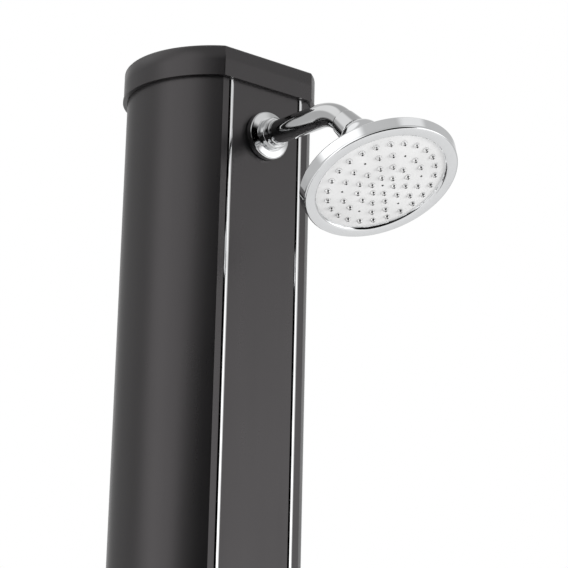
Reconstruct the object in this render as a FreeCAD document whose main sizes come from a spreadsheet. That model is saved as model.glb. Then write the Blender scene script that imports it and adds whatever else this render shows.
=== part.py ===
import FreeCAD, Part
import math
import os

import Sketcher

# Solar shower post: a black water tank of D-shaped section in two lengths, on a bolted foot,
# with a fixed arm and a ball-jointed round head near the top and a lever mixer on the front.
# Millimetres. +Z is up, the flat front faces -Y, and the origin is on the floor on the tank's axis.

SIZES = {
    # the whole post
    "post_height": 2200,            # floor to the top of the cap
    "slip_gap": 0.2,                # between pieces that slide into or over each other
    # D-shaped tank section
    "tank_radius": 95.7,            # of the round back
    "front_depth": 78,              # tank axis to the flat front
    "tank_wall": 3.5,
    "tank_crease": 1.2,             # rounding of the two front corners
    # foot
    "foot_rim": 34,                 # how far the foot's plate stands out round the tank
    "foot_plate": 10,
    "foot_edge": 4,                 # rounding of the plate's upper edge
    "foot_socket": 58,              # height of the socket above the plate
    "foot_socket_wall": 4,
    "bolt_spacing": 160,
    "bolt_hole": 11,
    "gusset_reach": 25,
    "gusset_height": 36,
    "gusset_thickness": 6,
    # joint between the two tanks
    "joint_height": 1120,           # floor to the middle of the joint
    "joint_band": 22,
    "joint_proud": 2.5,
    "spigot_length": 42,
    "spigot_wall": 4,
    # self-tapping screws of the foot and the joint
    "screw_shank": 4,
    "screw_head": 8,
    "screw_head_height": 2.4,
    "screw_length": 7,
    "screw_angle": 40,              # either side of straight back
    # end plugs of the tanks
    "plug_wall": 4,
    "plug_skirt": 20,
    # cap
    "cap_overhang": 4,
    "cap_height": 31.8,
    "cap_top": 4,
    "cap_edge": 2.5,
    "cap_lip_height": 2.4,
    "cap_lip_proud": 0.7,
    # bright strips in the front
    "trim_offset": 44.8,            # middle of the front to the middle of a strip
    "trim_width": 5,
    "trim_proud": 1,
    "trim_channel_depth": 0.8,
    "trim_channel_side": 0.5,       # shadow line on each side of a strip
    # pipes inside
    "pipe_radius": 8,
    "pipe_bore": 6,
    "pipe_line": 40,                # tank axis to the upright pipes
    "pipe_spacing": 34,
    "pipe_bend": 40,
    "hot_intake_drop": 70,          # cap top to the open upper end of the hot pipe
    "transfer_reach": 30,           # past each end plug
    # arm
    "arm_drop": 82.8,               # cap top to the arm's axis
    "arm_radius": 12,
    "arm_bore": 8,
    "arm_reach": 104.2,             # front to the corner of the arm's axis
    "arm_bend": 42.5,               # degrees below level
    "arm_bend_radius": 49,
    "arm_tail": 34,                 # behind the front
    "arm_thread": 8,                # of the arm inside the swivel nut
    # wall flange and hub nut
    "flange_seal": 1.5,
    "flange_radius": 24.5,
    "flange_rim": 5.7,
    "flange_height": 9,
    "flange_hub_radius": 17.5,
    "hub_nut_radius": 16,
    "hub_nut_height": 8,
    "hub_nose_radius": 13.8,
    "hub_nose_height": 4,
    # nuts behind the front
    "inner_nut_flats": 40,
    "inner_nut_height": 8,
    "elbow_radius": 16,
    "elbow_socket": 13,
    "elbow_length": 32,
    # swivel nut and ball
    "nut_start": 21.7,              # corner of the arm's axis to the nut
    "nut_length": 22.5,
    "nut_start_radius": 12.9,
    "nut_end_radius": 15.1,
    "ball_distance": 60,            # corner of the arm's axis to the ball
    "ball_radius": 12,
    "ball_stem": 5,
    "ball_bore": 3,
    "ball_collar": 9,
    "ball_collar_height": 3,
    "nut_lip": 2.5,                 # of the swivel nut in front of the ball's collar
    "run_gap": 0.05,                # round pieces that turn in each other
    "free_gap": 0.5,                # between pieces that pass each other
    # head
    "head_pitch": 61.5,             # degrees of the spray below level
    "tilt_each_way": 22,
    "head_depth": 55.6,             # ball to the head's front
    "head_radius": 75,
    "head_back_radius": 76.9,
    "head_rim": 12.5,
    "head_wall": 2.5,
    "housing_radius": 21,
    "neck_radius": 19,
    "neck_depth": 13,
    "shoulder_radius": 36,
    "shoulder_depth": 31,
    "neck_curve": 26,
    "back_curve": 95,
    "cup_wall": 3,
    "cup_floor": 6,                 # of the cup in front of the ball's middle
    "cup_ring_height": 3,
    "ring_width": 12.2,
    "ring_thickness": 3,
    "ring_round": 1.2,
    "face_recess": 3.4,             # front of the ring back to the nozzle plate
    "face_thickness": 2,
    "mat_thickness": 1.6,
    "face_dome": 5,                 # middle of the nozzle plate in front of its rim
    # nozzles
    "nozzle_base": 2.3,
    "nozzle_tip": 1.1,
    "nozzle_height": 3,
    "nozzle_bore": 0.6,
    "ring_one_radius": 52.8,
    "ring_one_count": 24,
    "ring_one_start": 0,
    "ring_two_radius": 38.8,
    "ring_two_count": 18,
    "ring_two_start": 14,
    "ring_three_radius": 24.5,
    "ring_three_count": 12,
    "ring_three_start": 15,
    "ring_four_radius": 11.6,
    "ring_four_count": 6,
    "ring_four_start": 15,
    "pin_radius": 1,
    "pin_proud": 0.5,
    # mixer
    "mixer_drop": 120,              # middle of the joint to the mixer's axis
    "mixer_flange_radius": 32,
    "mixer_flange_height": 6,
    "mixer_body_depth": 52,
    "mixer_port_radius": 11,
    "mixer_port_length": 36,
    "port_socket": 14,
    "waterway_radius": 3.5,
    "waterway_line": 10.5,          # mixer's axis to each of its three waterways
    "mixer_sleeve_radius": 20,
    "sleeve_front": 24,             # tank's front to the end of the sleeve
    "mixer_pivot": 14,              # tank's front to the axis that the lever lifts about
    "cartridge_radius": 15,
    "cartridge_height": 34,
    "retainer_height": 4,
    "retainer_bore": 9.7,
    "rotor_radius": 10.5,
    "rotor_height": 14,
    "rotor_slot": 7.5,              # half the slot's length
    "rotor_floor": 3,
    "pivot_pin": 1.5,               # radius
    "stem_radius": 4,
    "stem_below": 4,                # pivot to the stem's lower end
    "stem_above": 23,               # pivot to the stem's upper end
    "handle_inner": 23,             # both balls of the handle are round the pivot
    "handle_outer": 27,
    "handle_rim": 75,               # degrees from the handle's axis
    "handle_crown": 25,
    "handle_crown_rise": 1.7,
    "handle_cone": 13.6,            # pivot to the lowest point round the stem
    "handle_cone_side": 13.9,
    "lever_length": 78,             # pivot to the lever's tip
    "lever_width": 16,
    "lever_root": 14.5,             # pivot to the upper edge of the lever's root
    "lever_root_low": 7.5,
    "lever_rise": 12,
    "lever_tip": 5.6,               # thickness
    "lever_edge": 1.5,
    "grub_radius": 2,
    "grub_length": 6,
    "grub_rise": 20.5,              # pivot to the screw's axis
    "grub_socket": 2,
    "handle_plug_start": 13.5,
    "handle_plug_end": 17.2,
    # hose inlet and drain at the back
    "inlet_height": 165,
    "inlet_radius": 10.4,
    "inlet_bore": 7,
    "inlet_length": 16,
    "inlet_flange_radius": 17,
    "inlet_flange": 4,
    "inlet_depth": 34,
    "inlet_nut_flats": 32,
    "drain_height": 105,
    "drain_radius": 9,
    "drain_head_radius": 14,
    "drain_head": 7,
    "drain_slot": 3,
    "drain_depth": 14,
    "drain_boss_flats": 28,
    "washer_thickness": 2,
    "washer_rim": 1,
}

doc = FreeCAD.newDocument("shower_post")
sheet = doc.addObject("Spreadsheet::Sheet", "size")
for row, (name, value) in enumerate(SIZES.items(), start=1):
    sheet.set(f"A{row}", name)
    sheet.set(f"B{row}", str(value))
    sheet.setAlias(f"B{row}", name)
doc.recompute()

SUBPARTS = []


def worth(expression):
    """The present value of an expression on the sheet's cells."""
    value = sheet.evalExpression(str(expression))
    return float(getattr(value, "Value", value))


# ---------------------------------------------------------------- building blocks


def new_body(label):
    body = doc.addObject("PartDesign::Body", label)
    body.Label = label
    SUBPARTS.append(body)
    return body


def plane_of(body, role):
    return next(f for f in body.Origin.OriginFeatures if f.Role == role)


def new_sketch(body, role="XY_Plane", level=None):
    """A sketch on one of the body's own planes, raised along the plane's normal by level."""
    sketch = body.newObject("Sketcher::SketchObject", body.Name + "_sketch")
    sketch.AttachmentSupport = [(plane_of(body, role), "")]
    sketch.MapMode = "FlatFace"
    if level is not None:
        sketch.setExpression("AttachmentOffset.Base.z", level)
    return sketch


def bind(sketch, constraint, expression):
    index = sketch.addConstraint(constraint)
    sketch.setExpression(f"Constraints[{index}]", expression)


def pin_point(sketch, geometry, end, across, up):
    """Fixes a point of the sketch at two expressions; a plain 0 lies on the axis."""
    if across == "0":
        sketch.addConstraint(Sketcher.Constraint("PointOnObject", geometry, end, -2))
    else:
        bind(sketch, Sketcher.Constraint("DistanceX", -1, 1, geometry, end, worth(across)), across)
    if up == "0":
        sketch.addConstraint(Sketcher.Constraint("PointOnObject", geometry, end, -1))
    else:
        bind(sketch, Sketcher.Constraint("DistanceY", -1, 1, geometry, end, worth(up)), up)


def bulged_arc(start, finish, radius, bulge):
    """The arc from start to finish that bulges to the left of its way (bulge 1) or the right (-1)."""
    chord = finish - start
    middle = (start + finish) * 0.5
    left = FreeCAD.Vector(-chord.y, chord.x, 0).normalize()
    sagitta = radius - math.sqrt(max(radius ** 2 - (chord.Length / 2) ** 2, 0))
    top = middle + left * (bulge * sagitta)
    if bulge > 0:
        return Part.Arc(finish, top, start)
    return Part.Arc(start, top, finish)


def draw_loop(sketch, corners, arcs=None):
    """A closed outline. corners are pairs of expressions; arcs maps the side that leaves a corner
    to its radius and the way it bulges."""
    arcs = arcs or {}
    points = [FreeCAD.Vector(worth(x), worth(y), 0) for x, y in corners]
    sides = []
    for number, start in enumerate(points):
        finish = points[(number + 1) % len(points)]
        if number in arcs:
            radius, bulge = arcs[number]
            curve = bulged_arc(start, finish, worth(radius), bulge)
            side = sketch.addGeometry(curve)
            forward = sketch.Geometry[side].StartPoint.distanceToPoint(start) < 1e-6
            sides.append((side, 1 if forward else 2, 2 if forward else 1))
        else:
            side = sketch.addGeometry(Part.LineSegment(start, finish))
            sides.append((side, 1, 2))
    for number, (side, first, last) in enumerate(sides):
        after, after_first, _ = sides[(number + 1) % len(sides)]
        sketch.addConstraint(Sketcher.Constraint("Coincident", side, last, after, after_first))
    for number, (side, first, last) in enumerate(sides):
        pin_point(sketch, side, first, *corners[number])
        if number in arcs:
            radius = arcs[number][0]
            bind(sketch, Sketcher.Constraint("Radius", side, worth(radius)), radius)


def draw_circle(sketch, across, up, radius):
    centre = FreeCAD.Vector(worth(across), worth(up), 0)
    circle = sketch.addGeometry(Part.Circle(centre, FreeCAD.Vector(0, 0, 1), worth(radius)))
    pin_point(sketch, circle, 3, across, up)
    bind(sketch, Sketcher.Constraint("Radius", circle, worth(radius)), radius)


def draw_tank_section(sketch, outset):
    """The D-shaped outline of the tank, moved outwards by outset."""
    radius = f"(size.tank_radius + {outset})"
    depth = f"(size.front_depth + {outset})"
    half = f"sqrt({radius}^2 - {depth}^2)"
    right, left, back = (half, f"-{depth}"), (f"-{half}", f"-{depth}"), ("0", radius)
    draw_loop(sketch, [right, back, left], {0: (radius, -1), 1: (radius, -1)})


def draw_hexagon(sketch, flats):
    corner = f"({flats} / sqrt(3))"
    points = [(f"{corner} * cos({60 * number})", f"{corner} * sin({60 * number})") for number in range(6)]
    points[0] = (corner, "0")
    points[3] = (f"-{corner}", "0")
    draw_loop(sketch, points)


def pad(body, sketch, length, both_ways=False, down=False):
    feature = body.newObject("PartDesign::Pad", body.Name + "_pad")
    feature.Profile = sketch
    feature.setExpression("Length", length)
    feature.Midplane = both_ways
    feature.Reversed = down
    return feature


def pocket(body, sketch, length=None, down=True, both_ways=False):
    """Cuts the sketch out of the body: below the sketch, above it, or both ways."""
    feature = body.newObject("PartDesign::Pocket", body.Name + "_pocket")
    feature.Profile = sketch
    if length is None:
        feature.Type = "ThroughAll"
    else:
        feature.setExpression("Length", length)
    feature.Midplane = both_ways
    feature.Reversed = not down


def revolve(body, corners, arcs=None):
    """A body turned about its own Z axis; corners are (radius, height)."""
    sketch = new_sketch(body, "XZ_Plane")
    draw_loop(sketch, corners, arcs)
    feature = body.newObject("PartDesign::Revolution", body.Name + "_turn")
    feature.Profile = sketch
    feature.ReferenceAxis = (sketch, ["V_Axis"])
    feature.Angle = 360


def soften(body, base, size, wanted, kind="Fillet"):
    """Rounds the edges of base that wanted() picks."""
    doc.recompute()
    names = [f"Edge{n}" for n, edge in enumerate(base.Shape.Edges, start=1) if wanted(edge)]
    feature = body.newObject("PartDesign::" + kind, body.Name + "_soft")
    feature.Base = (base, names)
    feature.setExpression("Radius" if kind == "Fillet" else "Size", size)
    return feature


def place(body, front="0", height="0", turn=None, across="0"):
    """Puts a body at a distance in front of the tank's axis and a height above the floor.
    turn swings its own Z axis from straight up towards the front, in degrees."""
    if turn is not None:
        body.Placement = FreeCAD.Placement(
            FreeCAD.Vector(), FreeCAD.Rotation(FreeCAD.Vector(1, 0, 0), worth(turn))
        )
        body.setExpression("Placement.Rotation.Angle", turn)
    if across != "0":
        body.setExpression("Placement.Base.x", across)
    body.setExpression("Placement.Base.y", f"-({front})")
    body.setExpression("Placement.Base.z", height)


def edge_box(edge):
    box = edge.BoundBox
    return box.XMin, box.XMax, box.YMin, box.YMax, box.ZMin, box.ZMax


def at_height(edge, height):
    box = edge.BoundBox
    return abs(box.ZMin - height) < 1e-4 and abs(box.ZMax - height) < 1e-4


# ---------------------------------------------------------------- named places

FRONT = "size.front_depth"
ARM_HEIGHT = "size.post_height - size.arm_drop"
MIXER = "(size.joint_height - size.mixer_drop)"
ARM_CORNER = "size.front_depth + size.arm_reach"
BALL_FRONT = f"{ARM_CORNER} + size.ball_distance * cos(size.arm_bend)"
BALL_HEIGHT = f"{ARM_HEIGHT} - size.ball_distance * sin(size.arm_bend)"
ARM_TURN = "90 + size.arm_bend"
HEAD_TURN = "90 + size.head_pitch"
INNER_WALL = "(size.front_depth - size.tank_wall)"
LOWER_TOP = "(size.joint_height - size.joint_band / 2)"
UPPER_BOTTOM = "(size.joint_height + size.joint_band / 2)"
TANK_TOP = "(size.post_height - size.cap_top - 1)"
SPIGOT_OUTSET = "(0 - size.tank_wall - size.slip_gap)"
PIPE_HOLE = "(size.pipe_radius + size.slip_gap)"
FOOT_SCREWS = "(size.foot_plate + size.foot_socket - 12)"
LOWER_SCREWS = "(size.joint_height - size.joint_band / 2 - size.spigot_length / 2)"
UPPER_SCREWS = "(size.joint_height + size.joint_band / 2 + size.spigot_length / 2)"


# ---------------------------------------------------------------- foot


def make_foot():
    body = new_body("foot")
    plate = new_sketch(body)
    draw_tank_section(plate, "size.foot_rim")
    half = "size.bolt_spacing / 2"
    for across in (half, f"-{half}"):
        for up in (half, f"-{half}"):
            draw_circle(plate, across, up, "size.bolt_hole / 2")
    pad(body, plate, "size.foot_plate")

    socket = new_sketch(body, level="size.foot_plate")
    draw_tank_section(socket, "(size.slip_gap + size.foot_socket_wall)")
    draw_tank_section(socket, "size.slip_gap")
    pad(body, socket, "size.foot_socket")

    # upright gussets at both sides and at the back, one drawn and turned round the axis
    web = new_sketch(body, "XZ_Plane")
    inside = "size.tank_radius + size.slip_gap + size.foot_socket_wall / 2"
    outside = "size.tank_radius + size.slip_gap + size.foot_socket_wall + size.gusset_reach"
    foot_line = "size.foot_plate / 2"
    draw_loop(web, [
        (inside, foot_line),
        (outside, foot_line),
        (outside, "size.foot_plate"),
        (inside, "size.foot_plate + size.gusset_height"),
    ])
    gusset = pad(body, web, "size.gusset_thickness", both_ways=True)
    pattern = body.newObject("PartDesign::PolarPattern", "foot_gussets")
    pattern.Originals = [gusset]
    pattern.Axis = (plane_of(body, "Z_Axis"), [""])
    pattern.Angle = 180
    pattern.Occurrences = 3
    body.Tip = pattern

    thickness = worth("size.foot_plate")
    reach = worth("size.tank_radius + size.foot_rim") - 1
    front = worth("size.front_depth + size.foot_rim") - 1

    def upper_rim(edge):
        if not at_height(edge, thickness) or edge.Length < worth("size.bolt_spacing"):
            return False
        middle = edge.valueAt((edge.FirstParameter + edge.LastParameter) / 2)
        return math.hypot(middle.x, middle.y) > reach or middle.y < -front

    soften(body, pattern, "size.foot_edge", upper_rim)
    cut_screw_holes(body, [FOOT_SCREWS])
    place(body)


def screw_ring(label, heights, reach):
    """Pan-head screws driven in from the back, one each side at each height, as loose solids."""
    head = worth("size.screw_head / 2")
    shank = worth("size.screw_shank / 2")
    screws = []
    for height in heights:
        for side in (-1, 1):
            angle = math.radians(90 + side * worth("size.screw_angle"))
            outwards = FreeCAD.Vector(math.cos(angle), math.sin(angle), 0)
            seat = outwards * worth(reach) + FreeCAD.Vector(0, 0, worth(height))
            screw = Part.makeCylinder(
                shank, worth("size.screw_length"), seat - outwards * worth("size.screw_length"), outwards
            )
            pan = Part.makeCylinder(head, worth("size.screw_head_height"), seat, outwards)
            pan = pan.makeFillet(worth("size.screw_head_height") * 0.6, [pan.Edges[0]])
            screws.append(screw.fuse(pan).removeSplitter())
    feature = doc.addObject("Part::Feature", label)
    feature.Label = label
    feature.Shape = Part.makeCompound(screws)
    feature.Placement = FreeCAD.Placement()
    SUBPARTS.append(feature)


def cut_screw_holes(body, heights):
    """Round holes outwards through the back of a D-shaped wall, one each side at each height."""
    for height in heights:
        for turn in ("90 - size.screw_angle", "90 + size.screw_angle"):
            hole = new_sketch(body, "YZ_Plane")
            across = FreeCAD.Rotation(FreeCAD.Vector(0, 1, 0), worth(turn))
            hole.AttachmentOffset = FreeCAD.Placement(FreeCAD.Vector(), across)
            hole.setExpression("AttachmentOffset.Rotation.Angle", turn)
            draw_circle(hole, "0", height, "size.screw_shank / 2")
            pocket(body, hole, down=False)


# ---------------------------------------------------------------- tanks and their ends


def make_tank(label, bottom, top, holes, screws):
    """A length of D-shaped tube with two shallow channels down its front for the bright strips."""
    body = new_body(label)
    section = new_sketch(body)
    draw_tank_section(section, "0")
    draw_tank_section(section, "(0 - size.tank_wall)")
    tube = pad(body, section, f"{top} - {bottom}")
    height = worth(f"{top} - {bottom}")

    def front_corner(edge):
        x_low, x_high, y_low, y_high, z_low, z_high = edge_box(edge)
        upright = z_high - z_low > height - 1 and x_high - x_low < 0.01
        return upright and y_high < 0 and abs(x_low) < 90 and y_low < -worth(FRONT) + 0.01

    soften(body, tube, "size.tank_crease", front_corner)

    channels = new_sketch(body)
    side = "(size.trim_width / 2 + size.trim_channel_side)"
    for middle in ("size.trim_offset", "-size.trim_offset"):
        draw_loop(channels, [
            (f"{middle} - {side}", "-size.front_depth + size.trim_channel_depth"),
            (f"{middle} + {side}", "-size.front_depth + size.trim_channel_depth"),
            (f"{middle} + {side}", "-size.front_depth - 1"),
            (f"{middle} - {side}", "-size.front_depth - 1"),
        ])
    pocket(body, channels, down=False)

    for role, height_of_hole, radius in holes:
        hole = new_sketch(body, "XZ_Plane")
        draw_circle(hole, "0", f"{height_of_hole} - {bottom}", radius)
        # the plane's normal points to the front
        pocket(body, hole, down=(role == "back"))
    cut_screw_holes(body, [f"{height} - {bottom}" for height in screws])
    place(body, height=bottom)


def make_end_plug(label, height, opens_up, pipes):
    """A shallow cup that is glued into the tank; pipes are the places that pipes pass through."""
    body = new_body(label)
    floor = new_sketch(body)
    draw_tank_section(floor, SPIGOT_OUTSET)
    for across in pipes:
        draw_circle(floor, across, "-size.pipe_line", PIPE_HOLE)
    pad(body, floor, "size.plug_wall", down=not opens_up)
    skirt = new_sketch(body)
    draw_tank_section(skirt, SPIGOT_OUTSET)
    draw_tank_section(skirt, f"({SPIGOT_OUTSET} - size.plug_wall)")
    pad(body, skirt, "size.plug_skirt", down=not opens_up)
    place(body, height=height)


def make_middle_joint():
    body = new_body("middle_joint")
    inner = f"({SPIGOT_OUTSET} - size.spigot_wall)"
    band = new_sketch(body)
    draw_tank_section(band, "size.joint_proud")
    draw_tank_section(band, inner)
    rim = pad(body, band, "size.joint_band", both_ways=True)
    half = worth("size.joint_band / 2")

    def band_edge(edge):
        if not (at_height(edge, half) or at_height(edge, -half)):
            return False
        middle = edge.valueAt((edge.FirstParameter + edge.LastParameter) / 2)
        return math.hypot(middle.x, middle.y) > worth("size.tank_radius") + 1 or (
            middle.y < -worth(FRONT) - 1
        )

    soften(body, rim, "size.joint_proud * 0.6", band_edge)
    spigots = new_sketch(body)
    draw_tank_section(spigots, SPIGOT_OUTSET)
    draw_tank_section(spigots, inner)
    pad(body, spigots, "size.joint_band + 2 * size.spigot_length", both_ways=True)
    reach = f"({LOWER_SCREWS} - size.joint_height)"
    cut_screw_holes(body, [reach, f"0 - {reach}"])
    place(body, height="size.joint_height")


def make_trim(label, side, bottom, top):
    """A bright strip with a low crown, glued in its channel."""
    body = new_body(label)
    section = new_sketch(body)
    half = "size.trim_width / 2"
    middle = f"{side}size.trim_offset"
    back = "-size.front_depth + size.trim_channel_depth"
    edge = "-size.front_depth - size.trim_proud * 0.5"
    crown = "((size.trim_width / 2)^2 + (size.trim_proud / 2)^2) / size.trim_proud"
    draw_loop(section, [
        (f"{middle} - {half}", back),
        (f"{middle} - {half}", edge),
        (f"{middle} + {half}", edge),
        (f"{middle} + {half}", back),
    ], {1: (crown, -1)})
    pad(body, section, f"{top} - {bottom}")
    place(body, height=bottom)


def make_cap():
    """The moulded cap: a D-shaped lid with a skirt that stands proud of the tank and a thin lip."""
    body = new_body("top_cap")
    inside = "size.slip_gap"
    lid = new_sketch(body)
    draw_tank_section(lid, "size.cap_overhang")
    block = pad(body, lid, "size.cap_height")
    height = worth("size.cap_height")
    reach = worth("size.tank_radius")

    def upper_edge(edge):
        return at_height(edge, height)

    def front_crease(edge):
        x_low, x_high, y_low, y_high, z_low, z_high = edge_box(edge)
        return z_high - z_low > height - 1 and x_high - x_low < 0.01 and y_high < -reach / 2

    corners = soften(body, block, "size.tank_crease + size.cap_overhang * 0.3", front_crease)
    soften(body, corners, "size.cap_edge", upper_edge)

    lip = new_sketch(body)
    draw_tank_section(lip, "(size.cap_overhang + size.cap_lip_proud)")
    pad(body, lip, "size.cap_lip_height")

    hollow = new_sketch(body)
    draw_tank_section(hollow, inside)
    pocket(body, hollow, "size.cap_height - size.cap_top", down=False)
    place(body, height="size.post_height - size.cap_height")
    return body


# ---------------------------------------------------------------- arm and its fittings


def turned(label, corners, arcs=None, front="0", height="0", turn=None, across="0"):
    """A turned piece: drawn as (radius, height) and revolved, then put in its place."""
    body = new_body(label)
    revolve(body, corners, arcs)
    place(body, front, height, turn, across)
    return body


def washer(label, inner, outer, thickness, front, height, turn):
    return turned(label, [
        (inner, "0"), (outer, "0"), (outer, thickness), (inner, thickness),
    ], None, front, height, turn)


def hex_nut(label, flats, bore, thickness, front, height, turn):
    body = new_body(label)
    outline = new_sketch(body)
    draw_hexagon(outline, flats)
    draw_circle(outline, "0", "0", bore)
    pad(body, outline, thickness)
    place(body, front, height, turn)


def make_arm():
    """A tube that runs out level from inside the tank, bends down and ends in a plain thread."""
    body = new_body("shower_arm")
    path = new_sketch(body, "YZ_Plane")
    bend = math.radians(worth("size.arm_bend"))
    radius = worth("size.arm_bend_radius")
    tangent = radius * math.tan(bend / 2)
    reach = worth("size.arm_reach")
    start = FreeCAD.Vector(worth("size.arm_tail"), 0, 0)
    corner = FreeCAD.Vector(-reach, 0, 0)
    down = FreeCAD.Vector(-math.cos(bend), -math.sin(bend), 0)
    arm_end = "(size.nut_start + size.arm_thread)"
    finish = corner + down * worth(arm_end)
    bend_start = corner + FreeCAD.Vector(tangent, 0, 0)
    bend_end = corner + down * tangent
    level = path.addGeometry(Part.LineSegment(start, bend_start))
    curve = path.addGeometry(bulged_arc(
        bend_start, bend_end, radius, -1))
    slope = path.addGeometry(Part.LineSegment(bend_end, finish))
    forward = path.Geometry[curve].StartPoint.distanceToPoint(bend_start) < 1e-6
    near, far = (1, 2) if forward else (2, 1)
    path.addConstraint(Sketcher.Constraint("Coincident", level, 2, curve, near))
    path.addConstraint(Sketcher.Constraint("Coincident", slope, 1, curve, far))
    tangent_text = "size.arm_bend_radius * tan(size.arm_bend / 2)"
    pin_point(path, level, 1, "size.arm_tail", "0")
    pin_point(path, level, 2, f"{tangent_text} - size.arm_reach", "0")
    pin_point(
        path, slope, 1,
        f"0 - size.arm_reach - {tangent_text} * cos(size.arm_bend)",
        f"0 - {tangent_text} * sin(size.arm_bend)",
    )
    pin_point(
        path, slope, 2,
        f"0 - size.arm_reach - {arm_end} * cos(size.arm_bend)",
        f"0 - {arm_end} * sin(size.arm_bend)",
    )
    bind(path, Sketcher.Constraint("Radius", curve, radius), "size.arm_bend_radius")

    section = new_sketch(body, "XZ_Plane", level="0 - size.arm_tail")
    draw_circle(section, "0", "0", "size.arm_radius")
    draw_circle(section, "0", "0", "size.arm_bore")
    tube = body.newObject("PartDesign::AdditivePipe", "shower_arm_tube")
    tube.Profile = section
    tube.Spine = path
    place(body, FRONT, ARM_HEIGHT)


def make_arm_fittings():
    washer(
        "flange_seal", "size.arm_radius + size.slip_gap", "size.flange_radius - 2",
        "size.flange_seal", FRONT, ARM_HEIGHT, "90")
    base = "size.flange_seal"
    turned("wall_flange", [
        ("size.arm_radius + size.slip_gap", base),
        ("size.flange_radius", base),
        ("size.flange_radius", f"{base} + size.flange_rim"),
        ("size.flange_radius - 2", f"{base} + size.flange_rim + 1.2"),
        ("size.flange_hub_radius", f"{base} + size.flange_height - 1"),
        ("size.flange_hub_radius", f"{base} + size.flange_height"),
        ("size.arm_radius + size.slip_gap", f"{base} + size.flange_height"),
    ], {2: ("3", -1)}, FRONT, ARM_HEIGHT, "90")
    hub = f"({base} + size.flange_height)"
    shoulder = f"({hub} + size.hub_nut_height)"
    turned("arm_hub_nut", [
        ("size.arm_radius + size.slip_gap", hub),
        ("size.hub_nut_radius - 0.8", hub),
        ("size.hub_nut_radius", f"{hub} + 0.8"),
        ("size.hub_nut_radius", f"{shoulder} - 1"),
        ("size.hub_nut_radius - 1", shoulder),
        ("size.hub_nose_radius", shoulder),
        ("size.hub_nose_radius", f"{shoulder} + size.hub_nose_height - 0.8"),
        ("size.hub_nose_radius - 0.8", f"{shoulder} + size.hub_nose_height"),
        ("size.arm_radius + size.slip_gap", f"{shoulder} + size.hub_nose_height"),
    ], None, FRONT, ARM_HEIGHT, "90")
    hex_nut(
        "arm_inner_nut", "size.inner_nut_flats", "size.arm_radius + size.slip_gap",
        "size.inner_nut_height", f"{INNER_WALL} - size.inner_nut_height", ARM_HEIGHT, "90")


def pipe_socket_cut(elbow, bore_radius, start, direction, depth):
    """Takes a blind or through hole out of a fitting."""
    return elbow.cut(Part.makeCylinder(bore_radius, depth, start, direction))


def make_arm_elbow():
    """Joins the riser to the arm behind the front: an upright socket and a level one."""
    body = doc.addObject("Part::Feature", "arm_elbow")
    body.Label = "arm_elbow"
    up = FreeCAD.Vector(0, 0, 1)
    outwards = FreeCAD.Vector(0, -1, 0)
    line = FreeCAD.Vector(0, 0, 0)
    drop = worth("size.elbow_length")
    reach = worth(f"{INNER_WALL} - size.inner_nut_height - size.pipe_line - 1")
    upright = Part.makeCylinder(
        worth("size.elbow_socket"), drop + worth("size.elbow_radius * 0.7"), line - up * drop, up)
    level = Part.makeCylinder(worth("size.elbow_radius"), reach, line, outwards)
    shape = upright.fuse(level)
    arm_hole = worth("size.arm_radius + size.slip_gap")
    arm_end = worth("size.pipe_line - size.front_depth + size.arm_tail")
    shape = pipe_socket_cut(shape, arm_hole, line - outwards * arm_end, outwards, reach + abs(arm_end) + 1)
    riser_top = worth("size.elbow_length - size.port_socket")
    shape = pipe_socket_cut(shape, worth(PIPE_HOLE), line - up * (drop + 1), up, drop + 1 - riser_top)
    shape = pipe_socket_cut(shape, worth("size.pipe_bore"), line - up * drop, up, drop)
    shape = pipe_socket_cut(shape, worth("size.arm_bore"), line, outwards, reach)
    body.Shape = shape
    body.Placement = FreeCAD.Placement(
        FreeCAD.Vector(0, -worth("size.pipe_line"), worth(ARM_HEIGHT)), FreeCAD.Rotation())
    SUBPARTS.append(body)


# ---------------------------------------------------------------- ball joint

NUT_END = "(size.nut_start + size.nut_length)"
SOCKET = "(size.housing_radius + size.free_gap)"
LIP_END = f"(size.ball_distance - sqrt({SOCKET}^2 - (size.ball_stem + size.run_gap)^2))"
COLLAR_END = f"({LIP_END} - size.nut_lip)"
COLLAR_START = f"({COLLAR_END} - size.ball_collar_height)"


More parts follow.
